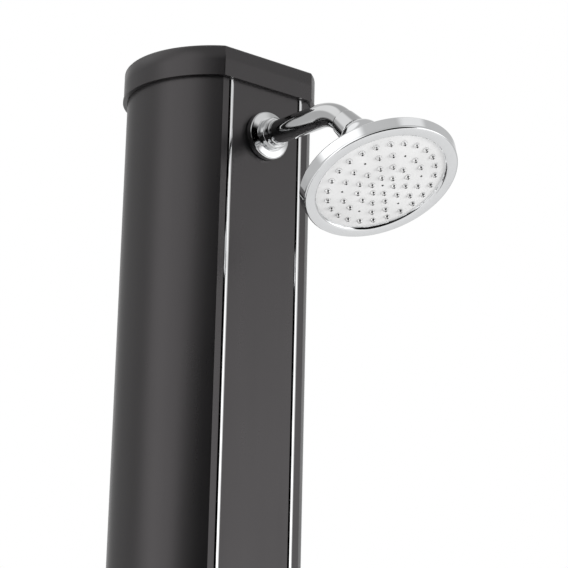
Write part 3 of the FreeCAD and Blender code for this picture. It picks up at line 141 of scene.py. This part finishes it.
def aimCamera():
    data = bpy.data.cameras.new("camera")
    data.lens = camera["lens"]
    data.sensor_width = camera["sensor"]
    data.clip_end = camera["farthest"]
    look = Vector(camera["look"]).normalized()
    right = look.cross(Vector((0, 0, 1))).normalized()
    up = right.cross(look)
    roll = math.radians(camera["roll"])
    across = right * math.cos(roll) + up * math.sin(roll)
    rise = up * math.cos(roll) - right * math.sin(roll)
    turn = Matrix((across, rise, -look)).transposed().to_4x4()
    eye = bpy.data.objects.new("camera", data)
    eye.matrix_world = Matrix.Translation(camera["place"]) @ turn
    bpy.context.scene.collection.objects.link(eye)
    bpy.context.scene.camera = eye


aimCamera()
bpy.context.scene.view_settings.view_transform = "Standard"

# studio: white behind, and soft cards all round that only shiny surfaces see, dark where the camera stands
studio = {
    "fill": 0.72,               # what matt surfaces get from all round
    "surround": 0.52,           # what shiny surfaces see between the cards
    "cards": [                  # compass angle, rise, full out to, gone at (all degrees), strength
        (0, 90, 20, 60, 0.47),
        (65, 10, 18, 48, 0.80),
        (100, 12, 10, 30, 0.42),
        (135, 12, 10, 30, 0.50),
        (130, 52, 16, 28, 0.90),
        (180, 6, 8, 36, 1.45),
        (188, 27, 12, 24, 1.10),
        (-50, -6, 8, 32, 1.50),
        (-68, 40, 10, 22, 0.80),
        (-98, 8, 25, 33, 0.0),
        (238, 4, 12, 26, 0.0),
        (212, -8, 12, 24, 0.12),
    ],
    "floor": {"tone": (0.87, 0.87, 0.87), "darkest": 0.98, "reach": 7, "fade": (2.2, 6.6)},
    "screen": {"centre": (0, -0.25), "radius": 2.0, "from": -165, "to": -68, "foot": 0.001, "height": 1.78,
               "steps": 24},
    "lamps": [                  # name, place, what it lights, size, watts
        ("leftLamp", (-3.2, -0.7, 2.3), (0, -0.1, 1.8), 1.5, 30),
        ("frontLamp", (2.3, -2.9, 1.5), (0, -0.1, 1.8), 1.5, 30),
        ("lowLamp", (-0.3, -1.1, 0.55), (0, -0.27, 2.03), 0.6, 2.8),
    ],
}


def compass(turn, rise):
    turn, rise = math.radians(turn), math.radians(rise)
    return math.cos(rise) * math.cos(turn), math.cos(rise) * math.sin(turn), math.sin(rise)


def lightWorld():
    world = bpy.data.worlds.new("studio")
    world.use_nodes = True
    world.node_tree.nodes.clear()
    bpy.context.scene.world = world
    graph = Graph(world.node_tree)
    ray = graph.add("ShaderNodeTexCoord", None, None, "Generated")
    seen = studio["surround"]
    for turn, rise, full, gone, strength in studio["cards"]:
        sockets = {0: ray, 1: compass(turn, rise)}
        near = graph.add("ShaderNodeVectorMath", {"operation": "DOT_PRODUCT"}, sockets, "Value")
        low, high = (math.cos(math.radians(angle)) for angle in (gone, full))
        sockets = {"Value": near, "From Min": low, "From Max": high}
        card = graph.add("ShaderNodeMapRange", {"interpolation_type": "SMOOTHSTEP"}, sockets)
        seen = seen + card * (strength - seen)
    path = "ShaderNodeLightPath"
    white = graph.add(path, None, None, "Is Camera Ray") + graph.add(path, None, None, "Is Transmission Ray")
    shiny = graph.add(path, None, None, "Is Glossy Ray")
    matt = graph.add(path, None, None, "Is Diffuse Ray")
    strength = white + shiny * seen + matt * studio["fill"]
    light = graph.add("ShaderNodeBackground", None, {"Color": (1, 1, 1, 1), "Strength": strength})
    graph.add("ShaderNodeOutputWorld", None, {"Surface": light})


def paleFloor(graph, place):
    # faint clouds, and a rim that fades out into the white
    tone = studio["floor"]["tone"]
    low = tuple(part * studio["floor"]["darkest"] for part in tone)
    cloud = noise(graph, place, 1.2, detail=3)
    away = graph.add("ShaderNodeVectorMath", {"operation": "LENGTH"}, {0: place}, "Value")
    return {
        "Base Color": shades(graph, cloud, (0.3, low), (0.7, tone)),
        "Alpha": ranged(graph, away, *studio["floor"]["fade"], 1.0, 0.0),
    }


def layFloor():
    mesh = bpy.data.meshes.new("floor")
    reach = studio["floor"]["reach"]
    corners = [(x * reach, y * reach, 0) for x, y in ((-1, -1), (1, -1), (1, 1), (-1, 1))]
    mesh.from_pydata(corners, [], [(0, 1, 2, 3)])
    floor = bpy.data.objects.new("floor", mesh)
    mesh.materials.append(finish("paleFloor", {"Roughness": 0.9}, paleFloor))
    bpy.context.scene.collection.objects.link(floor)


def darkCloth(graph, place):
    weave = noise(graph, place, 40)
    return {"Base Color": shades(graph, weave, (0.3, (0.010, 0.010, 0.010)), (0.7, (0.016, 0.016, 0.016)))}


def hangScreen():
    # a dark screen round the camera's side, seen only by shiny surfaces
    screen = studio["screen"]
    corners, faces = [], []
    for step in range(screen["steps"] + 1):
        turn = math.radians(screen["from"] + (screen["to"] - screen["from"]) * step / screen["steps"])
        x = screen["centre"][0] + screen["radius"] * math.cos(turn)
        y = screen["centre"][1] + screen["radius"] * math.sin(turn)
        corners += [(x, y, screen["foot"]), (x, y, screen["height"])]
        if step:
            faces.append((2 * step - 2, 2 * step, 2 * step + 1, 2 * step - 1))
    mesh = bpy.data.meshes.new("screen")
    mesh.from_pydata(corners, [], faces)
    mesh.materials.append(finish("darkCloth", {"Roughness": 0.95, "Specular IOR Level": 0.1}, darkCloth))
    cloth = bpy.data.objects.new("screen", mesh)
    cloth.visible_camera = False
    cloth.visible_diffuse = False
    cloth.visible_shadow = False
    bpy.context.scene.collection.objects.link(cloth)


def hangLamps():
    for name, spot, target, size, watts in studio["lamps"]:
        data = bpy.data.lights.new(name, "AREA")
        data.shape = "DISK"
        data.size = size
        data.energy = watts
        lamp = bpy.data.objects.new(name, data)
        lamp.visible_camera = False
        lamp.visible_glossy = False     # the cards are what shines back
        aim = Vector(target) - Vector(spot)
        lamp.matrix_world = Matrix.Translation(spot) @ aim.to_track_quat("-Z", "Y").to_matrix().to_4x4()
        bpy.context.scene.collection.objects.link(lamp)


lightWorld()
layFloor()
hangScreen()
hangLamps()
print("studio and camera ready")

# finishes: scales of noise are per metre, depths are metres
plastic = {
    "clouds": 5,
    "streaks": (60, 60, 2.5),
    "mix": (0.6, 0.4),                  # clouds and streaks in the gloss
    "darkest": (0.85, 0.85, 0.9),       # share of the tone
    "lightest": (1.15, 1.15, 1.2),
    "sheen": (-0.03, 0.05),             # how far the roughness goes down and up
    "grainSheen": 0.04,
}
capDraft = {"start": 2.185, "curve": 14}         # above the start the cap's side rounds in towards its top


def blackPlastic(tone, roughness, grain, depth, draft=None):
    def recipe(graph, place):
        broad = noise(graph, place, plastic["clouds"], detail=3)
        streak = noise(graph, stretched(graph, place, *plastic["streaks"]), 1, detail=3)
        fine = noise(graph, place, grain)
        low, high = (tuple(tone * part for part in plastic[end]) for end in ("darkest", "lightest"))
        gloss = broad * plastic["mix"][0] + streak * plastic["mix"][1]
        worn = ranged(graph, gloss, 0.35, 0.65, *(roughness + change for change in plastic["sheen"]))
        relief = fine * depth
        if draft:
            rise = graph.add("ShaderNodeSeparateXYZ", None, {"Vector": place}, "Z") - draft["start"]
            rise = rise.maths("MAXIMUM", rise, 0.0)
            relief = relief - rise * rise * draft["curve"]
        return {
            "Base Color": shades(graph, broad, (0.35, low), (0.65, high)),
            "Roughness": worn + fine * plastic["grainSheen"],
            "Normal": bumped(graph, relief, 1.0),
        }
    return recipe


chrome = {
    "tint": (0.93, 0.94, 0.95),
    "dimmed": 0.97,                     # share of the tint under a wipe mark
    "wipe": 90,
    "wipeStretch": (1, 1, 0.35),
    "wiped": 0.05,                      # roughness that a wipe mark adds
}


def bright(roughness, wave, waveScale, tint=chrome["tint"]):
    # polished chrome: faint wipe marks and a slow wave in the surface
    def recipe(graph, place):
        wipe = noise(graph, stretched(graph, place, *chrome["wipeStretch"]), chrome["wipe"], 4, 0.6)
        slow = noise(graph, place, waveScale, detail=1)
        dim = tuple(part * chrome["dimmed"] for part in tint)
        return {
            "Base Color": shades(graph, wipe, (0.4, tint), (0.8, dim)),
            "Roughness": ranged(graph, wipe, 0.45, 0.8, roughness, roughness + chrome["wiped"]),
            "Normal": bumped(graph, slow, wave),
        }
    return recipe


foil = {"wander": (40, 40, 9), "waveDepth": 0.0005, "wipe": (300, 300, 30), "roughness": (0.06, 0.14)}


def stripFoil(graph, place):
    # thin bright strip that isn't quite flat, so its highlight wanders
    wander = noise(graph, stretched(graph, place, *foil["wander"]), 1)
    wipe = noise(graph, stretched(graph, place, *foil["wipe"]), 1, detail=3)
    return {
        "Base Color": shades(graph, wipe, (0.3, (0.95, 0.95, 0.95)), (0.8, (0.88, 0.88, 0.89))),
        "Roughness": ranged(graph, wipe, 0.3, 0.8, *foil["roughness"]),
        "Normal": bumped(graph, wander, foil["waveDepth"]),
    }


lathed = {"marks": (1, 6, 1), "stain": 25, "depth": 0.00003}


def machined(light, dark, roughness, scale):
    def recipe(graph, place):
        cut = noise(graph, stretched(graph, place, *lathed["marks"]), scale, 3, 0.6)
        stain = noise(graph, place, lathed["stain"], detail=3)
        return {
            "Base Color": shades(graph, stain, (0.35, dark), (0.65, light)),
            "Roughness": ranged(graph, cut, 0.3, 0.7, roughness - 0.06, roughness + 0.08),
            "Normal": bumped(graph, cut, lathed["depth"]),
        }
    return recipe


plating = {"ends": (-0.0790, -0.0785), "brass": (0.76, 0.58, 0.29), "marks": 500}


def platedBrass(graph, place):
    # chromed in front of the tank, bare brass behind it
    y = graph.add("ShaderNodeSeparateXYZ", None, {"Vector": place}, "Y")
    bare = ranged(graph, y, *plating["ends"], 0.0, 1.0)
    cut = noise(graph, stretched(graph, place, *lathed["marks"]), plating["marks"], 3, 0.6)
    return {
        "Base Color": shades(graph, bare + cut * 0.02, (0.3, chrome["tint"]), (0.7, plating["brass"])),
        "Roughness": 0.05 + bare * 0.2 + cut * 0.06,
        "Normal": bumped(graph, cut * bare, lathed["depth"]),
    }


def moulded(light, dark, roughness, scale=450, depth=0.00004):
    def recipe(graph, place):
        speck = noise(graph, place, scale, detail=3)
        broad = noise(graph, place, 30)
        return {
            "Base Color": shades(graph, broad, (0.35, dark), (0.65, light)),
            "Roughness": ranged(graph, speck, 0.3, 0.7, roughness - 0.05, roughness + 0.08),
            "Normal": bumped(graph, speck, depth),
        }
    return recipe


metal = {"Metallic": 1.0}
skin = {"Specular IOR Level": 0.85, "Specular Tint": (1.0, 0.945, 0.965, 1.0)}
recipes = {         # name of the finish, fixed values, what varies
    "tankBlack": (skin, blackPlastic(tone=0.006, roughness=0.27, grain=1100, depth=0.00005)),
    "capBlack": (skin, blackPlastic(tone=0.006, roughness=0.27, grain=1100, depth=0.00005, draft=capDraft)),
    "footBlack": (skin, blackPlastic(tone=0.014, roughness=0.42, grain=700, depth=0.00010)),
    "stripChrome": (metal, stripFoil),
    "armChrome": (metal, bright(roughness=0.035, wave=0.0002, waveScale=26, tint=(0.74, 0.745, 0.75))),
    "headChrome": (metal, bright(roughness=0.05, wave=0.00025, waveScale=20)),
    "mixerChrome": (metal, bright(roughness=0.04, wave=0.0001, waveScale=30)),
    "facePlate": ({}, moulded((0.94, 0.94, 0.94), (0.86, 0.86, 0.86), roughness=0.30)),
    # the pins' own dark grey, also used for the painted shade round the foot of each nub and inside its bore
    "pinGreyAndShade": ({}, moulded((0.045, 0.045, 0.045), (0.030, 0.030, 0.030), roughness=0.35)),
    "brass": (metal, machined((0.80, 0.62, 0.32), (0.66, 0.49, 0.24), roughness=0.30, scale=500)),
    "platedBrass": (metal, platedBrass),
    "steel": (metal, machined((0.66, 0.66, 0.67), (0.55, 0.55, 0.56), roughness=0.28, scale=700)),
    "rubber": ({}, moulded((0.030, 0.030, 0.032), (0.018, 0.018, 0.019), 0.62, scale=800, depth=0.00006)),
    "whitePlastic": ({}, moulded((0.80, 0.80, 0.77), (0.72, 0.72, 0.69), roughness=0.38)),
    "softNozzle": ({"Metallic": 0.95}, moulded((0.99, 0.99, 0.99), (0.95, 0.95, 0.95), roughness=0.06)),
}
finishes = {name: finish(name, fixed, recipe) for name, (fixed, recipe) in recipes.items()}
wearing = {
    "tankBlack": ["lower_tank", "upper_tank", "middle_joint", "lower_tank_floor", "lower_tank_lid",
                  "upper_tank_floor", "upper_tank_lid"],
    "capBlack": ["top_cap"],
    "footBlack": ["foot"],
    "stripChrome": ["lower_left_trim", "lower_right_trim", "upper_left_trim", "upper_right_trim"],
    "armChrome": ["shower_arm", "wall_flange", "arm_hub_nut", "swivel_nut", "swivel_ball"],
    "headChrome": ["head_shell", "head_ring"],
    "mixerChrome": ["mixer_flange", "mixer_handle", "inlet_connector", "drain_plug"],
    "facePlate": ["nozzle_plate"],
    "pinGreyAndShade": ["face_pins"],
    "platedBrass": ["mixer_body", "mixer_retainer"],
    "brass": ["arm_elbow", "arm_inner_nut", "mixer_inner_nut", "cup_ring",
              "inlet_inner_nut", "drain_boss"],
    "steel": ["foot_screws", "joint_screws", "mixer_stem", "stem_pin", "handle_screw"],
    "rubber": ["flange_seal", "swivel_seal", "inlet_seal", "drain_seal"],
    "whitePlastic": ["ball_cup", "mixer_cartridge", "mixer_rotor", "handle_plug", "riser_pipe", "hot_pipe",
                     "transfer_pipe", "cold_pipe"],
    "softNozzle": ["nozzle_mat"],
}
for finishName, names in wearing.items():
    for name in names:
        mesh = cadNodes[name].data
        mesh.materials.clear()
        mesh.materials.append(finishes[finishName])
print("finishes on:", sum(len(names) for names in wearing.values()), "nodes")


# meshes
def newPiece(name, mesh, finishName, body, slot, *replaced):
    piece = bpy.data.objects.new(name, mesh)
    bpy.context.scene.collection.objects.link(piece)
    mesh.materials.clear()
    mesh.materials.append(finishes[finishName])
    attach(piece, body)
    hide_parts(*replaced)


def lathe(name, profile, around=64, place=Matrix.Identity(4), dent=None, sharp=32):
    # a closed outline of (radius, height) points turned about Z
    # dent(radius, angle, height) may move a point
    build = bmesh.new()
    rings = []
    for radius, height in profile:
        ring = []
        for step in range(around if radius > 1e-9 else 1):
            angle = 2 * math.pi * step / around
            away, up = dent(radius, angle, height) if dent else (radius, height)
            ring.append(build.verts.new((away * math.cos(angle), away * math.sin(angle), up)))
        rings.append(ring)
    for lower, upper in zip(rings, rings[1:] + rings[:1]):
        for step in range(around):
            after = (step + 1) % around
            corners = [lower[step % len(lower)], lower[after % len(lower)],
                       upper[after % len(upper)], upper[step % len(upper)]]
            corners = list(dict.fromkeys(corners))
            if len(corners) > 2:
                build.faces.new(corners)
    bmesh.ops.recalc_face_normals(build, faces=build.faces)
    for face in build.faces:
        face.smooth = True
    mesh = bpy.data.meshes.new(name)
    build.to_mesh(mesh)
    build.free()
    mesh.set_sharp_from_angle(angle=math.radians(sharp))
    mesh.transform(place)
    return mesh


def newTree(name, inputs):
    # gives the tree, its graph and one wire for each named input
    tree = bpy.data.node_groups.new(name, "GeometryNodeTree")
    tree.interface.new_socket("Geometry", in_out="OUTPUT", socket_type="NodeSocketGeometry")
    for title, kind in inputs.items():
        tree.interface.new_socket(title, in_out="INPUT", socket_type="NodeSocket" + kind)
    graph = Graph(tree)
    given = graph.add("NodeGroupInput").socket.node
    return tree, graph, {title: Wire(graph, given.outputs[title]) for title in inputs}


def repeat(graph, points, shape, turned, finishWire):
    # the end of each tree: the shape at every point, as real faces with their finish
    sockets = {"Points": points, "Instance": shape, "Rotation": turned}
    many = graph.add("GeometryNodeInstanceOnPoints", None, sockets)
    solid = graph.add("GeometryNodeRealizeInstances", None, {"Geometry": many})
    dressed = graph.add("GeometryNodeSetMaterial", None, {"Geometry": solid, "Material": finishWire})
    graph.add("NodeGroupOutput", None, {"Geometry": dressed})


def grown(name, tree, values):
    # runs the tree on an empty mesh and gives the result as a plain mesh
    holder = bpy.data.objects.new(name, bpy.data.meshes.new(name + "Start"))
    bpy.context.scene.collection.objects.link(holder)
    modifier = holder.modifiers.new("grow", "NODES")
    modifier.node_group = tree
    for socket in tree.interface.items_tree:
        if socket.name in values:
            modifier[socket.identifier] = values[socket.name]
    ready = holder.evaluated_get(bpy.context.evaluated_depsgraph_get())
    mesh = bpy.data.meshes.new_from_object(ready)
    mesh.name = name
    holder.modifiers.remove(modifier)
    bpy.data.objects.remove(holder)
    return mesh


def joined(name, meshes, place=Matrix.Identity(4)):
    build = bmesh.new()
    for mesh in meshes:
        build.from_mesh(mesh)
    whole = bpy.data.meshes.new(name)
    build.to_mesh(whole)
    build.free()
    whole.transform(place)
    whole.set_sharp_from_angle(angle=math.radians(35))
    return whole


# nozzles: shiny nubs in four rings, grown from one shape; the head's own axis points along the spray
head = {"ball": (0, -0.22643664, 2.07666459), "pitch": 61.5}
nozzles = {
    "rings": [      # radius, count, first angle, which place in three is left out
        (0.0528, 24, 0, -1),
        (0.0388, 18, 14, 1),
        (0.0245, 12, 15, -1),
        (0.0116, 6, 15, -1),
    ],
    "pins": [(0.0388, 6, 34, -1)],
    "front": 0.0522,
    "domeEdge": 0.0626,
    "dome": 0.005,      # the middle of the face stands this far in front of its edge
    "matBack": 0.0486,
    "matRadius": 0.0628,
    "matThickness": 0.0015,
    "matSteps": 12,     # from the middle to the edge
    "matAround": 96,
    "around": 24,       # sides of a nub or a pin
    # outlines of (radius, height) in millimetres
    "shape": [(0, -2.0), (2.2, -2.0), (2.2, -0.4), (3.0, -0.4), (3.0, 0.05), (2.0, 2.3), (1.85, 2.56),
              (1.6, 2.76), (1.35, 2.86), (1.15, 2.86), (1.02, 2.75), (0.98, 2.5), (0.95, 1.6), (0, 1.5)],
    # the rim is a painted shadow: a thin dark ring round the foot of each nub, where it meets the plate
    "rim": [(2.8, -0.3), (3.07, -0.3), (3.07, 0.04), (3.03, 0.06), (2.8, 0.06)],
    # the core is painted shade: a dark plug that darkens the bottom of each nub's bore
    "core": [(0, 1.4), (0.93, 1.4), (0.93, 2.3), (0, 2.3)],
    "pin": [(0, -3.6), (1.0, -3.6), (1.0, 0.25), (0.9, 0.42), (0.6, 0.5), (0, 0.5)],
}
nozzles["domeRadius"] = (nozzles["domeEdge"] ** 2 + nozzles["dome"] ** 2) / (2 * nozzles["dome"])
headPlace = Matrix.Translation(head["ball"]) @ Matrix.Rotation(math.radians(90 + head["pitch"]), 4, "X")


def domeRise(radius):
    whole = nozzles["domeRadius"]
    return max(0, math.sqrt(whole ** 2 - radius ** 2) - whole + nozzles["dome"])


def nozzleTree():
    inputs = {"Nozzle": "Object", "Radius": "Float", "Count": "Int", "Start": "Float", "Left Out": "Float",
              "Height": "Float", "Tilt": "Float", "Finish": "Material"}
    tree, graph, value = newTree("nozzleRing", inputs)
    circle = {"Vertices": value["Count"], "Radius": value["Radius"]}
    ring = graph.add("GeometryNodeMeshCircle", None, circle)
    index = graph.add("GeometryNodeInputIndex")
    third = index.maths("MODULO", index, 3.0)
    gone = third.maths("COMPARE", third, value["Left Out"], 0.1)
    unwanted = {"Geometry": ring, "Selection": gone}
    places = graph.add("GeometryNodeDeleteGeometry", {"domain": "POINT"}, unwanted)
    turn = graph.add("ShaderNodeCombineXYZ", None, {"Z": value["Start"]})
    lift = graph.add("ShaderNodeCombineXYZ", None, {"Z": value["Height"]})
    move = {"Geometry": places, "Rotation": turn, "Translation": lift}
    places = graph.add("GeometryNodeTransform", None, move)
    shape = graph.add("GeometryNodeObjectInfo", None, {"Object": value["Nozzle"]}, "Geometry")
    spot = graph.add("GeometryNodeInputPosition")
    x, y = (graph.add("ShaderNodeSeparateXYZ", None, {"Vector": spot}, axis) for axis in "XY")
    lean = graph.add("ShaderNodeCombineXYZ", None, {"Y": value["Tilt"], "Z": y.maths("ARCTAN2", y, x)})
    repeat(graph, places, shape, lean, value["Finish"])
    return tree


def faceRings(tree, title, rings, finishName):
    # one shape at every place of the rings, square to the domed face
    profile = [(radius / 1000, height / 1000) for radius, height in nozzles[title]]
    one = bpy.data.objects.new(title, lathe(title, profile, nozzles["around"]))
    bpy.context.scene.collection.objects.link(one)
    meshes = []
    for radius, count, start, leftOut in rings:
        values = {"Nozzle": one, "Radius": radius, "Count": count, "Start": math.radians(start),
                  "Left Out": float(leftOut), "Height": nozzles["front"] + domeRise(radius),
                  "Tilt": math.asin(radius / nozzles["domeRadius"]), "Finish": finishes[finishName]}
        meshes.append(grown(title, tree, values))
    bpy.data.objects.remove(one)
    return meshes


def makeNozzles():
    tree = nozzleTree()
    steps = nozzles["matSteps"]
    radii = [nozzles["matRadius"] * step / steps for step in range(steps + 1)]
    back = [(radius, nozzles["matBack"] + domeRise(radius)) for radius in radii]
    front = [(radius, height + nozzles["matThickness"]) for radius, height in reversed(back)]
    meshes = faceRings(tree, "shape", nozzles["rings"], "softNozzle")
    meshes.append(lathe("mat", back + front, nozzles["matAround"]))
    whole = joined("softNozzles", meshes, headPlace)
    newPiece("softNozzles", whole, "softNozzle", "head", "nozzle_silicone", "nozzle_mat")

    peak = nozzles["front"] + nozzles["dome"]
    middle = [(radius / 1000, peak + height / 1000) for radius, height in nozzles["pin"]]
    meshes = faceRings(tree, "pin", nozzles["pins"], "pinGreyAndShade")
    meshes.append(lathe("middlePin", middle, nozzles["around"]))
    # painted shade in the pins' dark grey: a ring round the foot of every nub and a plug deep in its bore
    for title in ("rim", "core"):
        meshes += faceRings(tree, title, nozzles["rings"], "pinGreyAndShade")
    whole = joined("facePins", meshes, headPlace)
    newPiece("facePins", whole, "pinGreyAndShade", "head", "nozzle_plate_grey", "face_pins")


makeNozzles()
print("nozzles made")

# front ring of the head, with a hollowed inner edge: outline of (radius, height) in millimetres
ring = {
    "back": [(62.8, 52.2), (72.3, 52.2), (72.3, 52.6), (75, 52.6)],
    "front": [(75, 54.1), (74.9, 54.6), (74.6, 55.05), (74.1, 55.4), (73.5, 55.55), (72.8, 55.6),
              (66.2, 55.6), (65.4, 55.5), (64.7, 55.2), (64.0, 54.7), (63.4, 54.0), (63.0, 53.2)],
    "around": 160,
    "sharp": 25,        # degrees
}


def makeRing():
    profile = [(radius / 1000, height / 1000) for radius, height in ring["back"] + ring["front"]]
    mesh = lathe("frontRing", profile, ring["around"], headPlace, sharp=ring["sharp"])
    newPiece("frontRing", mesh, "headChrome", "head", "head_chrome", "head_ring")


makeRing()
print("ring made")

# screws at the back: pan heads with a cross recess
screws = {
    "spread": 40,               # degrees either side of straight back
    "rows": [                   # name, replaced node, radius of the seat, heights
        ("footScrews", "foot_screws", 0.0999, [0.056]),
        ("jointScrews", "joint_screws", 0.0957, [1.088, 1.152]),
    ],
    "crossReach": 0.0021,
    "crossWidth": 0.0005,
    "crossDepth": 0.0013,
    "around": 48,
    # outlines of (radius, height) in metres
    "shank": [(0, -0.007), (0.0012, -0.007), (0.0020, -0.006), (0.0020, 0), (0.0039, 0)],
    "top": [(0.0039, 0.0009), (0.0036, 0.0016), (0.0030, 0.0021), (0.00215, 0.0023), (0.0020, 0.0023),
            (0.0014, 0.0024), (0.0008, 0.0024), (0.0004, 0.0024), (0, 0.0024)],
}


def screwTree():
    inputs = {"Screw": "Object", "Radius": "Float", "Height": "Float", "Spread": "Float",
              "Finish": "Material"}
    tree, graph, value = newTree("backScrews", inputs)
    side = graph.add("GeometryNodeInputIndex") * 2.0 - 1.0
    angle = side * value["Spread"] + math.pi / 2
    spot = graph.add("ShaderNodeCombineXYZ", None, {
        "X": angle.maths("COSINE", angle) * value["Radius"],
        "Y": angle.maths("SINE", angle) * value["Radius"],
        "Z": value["Height"]})
    points = graph.add("GeometryNodePoints", None, {"Count": 2, "Position": spot})
    shape = graph.add("GeometryNodeObjectInfo", None, {"Object": value["Screw"]}, "Geometry")
    aim = graph.add("ShaderNodeCombineXYZ", None, {"Y": math.pi / 2, "Z": angle})
    repeat(graph, points, shape, aim, value["Finish"])
    return tree


def crossRecess(radius, angle, height):
    across, up = abs(radius * math.cos(angle)), abs(radius * math.sin(angle))
    onTop = height > screws["top"][0][1]
    inside = min(across, up) < screws["crossWidth"] and radius < screws["crossReach"] and onTop
    return radius, height - (screws["crossDepth"] if inside else 0)


def makeScrews():
    profile = screws["shank"] + screws["top"]
    mesh = lathe("screwShape", profile, screws["around"], dent=crossRecess, sharp=40)
    one = bpy.data.objects.new("screwShape", mesh)
    bpy.context.scene.collection.objects.link(one)
    tree = screwTree()
    for name, node, radius, heights in screws["rows"]:
        meshes = []
        for height in heights:
            values = {"Screw": one, "Radius": radius, "Height": height,
                      "Spread": math.radians(screws["spread"]), "Finish": finishes["steel"]}
            meshes.append(grown(name, tree, values))
        newPiece(name, joined(name, meshes), "steel", "post", "steel", node)
    bpy.data.objects.remove(one)


makeScrews()
print("screws made")

# hose inlet with its half-inch thread
inlet = {
    "height": 0.165,
    "back": 0.0957,             # the tank's surface, where the outline's heights start
    "crest": 0.0104,            # radius over the thread
    "depth": 0.0011,
    "pitch": 0.001814,
    "start": 0.0068,
    "end": 0.0208,
    "fadeIn": 0.0008,           # the thread runs in and out over these lengths
    "fadeOut": 0.0012,
    "rows": 60,
    "firstRow": 0.006,
    "rowGap": 0.00026,
    "around": 72,
    # outlines of (radius, height): collar behind the thread, and mouth with the bore
    "collar": [(0.0082, -0.034), (0.0114, -0.034), (0.0114, 0.002), (0.017, 0.002), (0.017, 0.0051),
               (0.0166, 0.0057), (0.016, 0.006)],
    "mouth": [(0.0104, 0.0216), (0.0100, 0.022), (0.0072, 0.022), (0.0070, 0.0218), (0.0070, -0.020),
              (0.0082, -0.020)],
}


def threadDent(radius, angle, height):
    if abs(radius - inlet["crest"]) > 1e-6 or not inlet["start"] < height < inlet["end"]:
        return radius, height
    turn = (height / inlet["pitch"] - angle / (2 * math.pi)) % 1
    ends = min(1, (inlet["end"] - height) / inlet["fadeOut"], (height - inlet["start"]) / inlet["fadeIn"])
    return radius - inlet["depth"] * abs(2 * turn - 1) * max(0, ends), height


def makeInlet():
    rows = [(inlet["crest"], inlet["firstRow"] + inlet["rowGap"] * step) for step in range(inlet["rows"])]
    profile = inlet["collar"] + rows + inlet["mouth"]
    place = Matrix.Translation((0, inlet["back"], inlet["height"])) @ Matrix.Rotation(-math.pi / 2, 4, "X")
    mesh = lathe("threadedInlet", profile, inlet["around"], place, threadDent)
    newPiece("threadedInlet", mesh, "mixerChrome", "post", "inlet_chrome", "inlet_connector")


makeInlet()
print("inlet made")
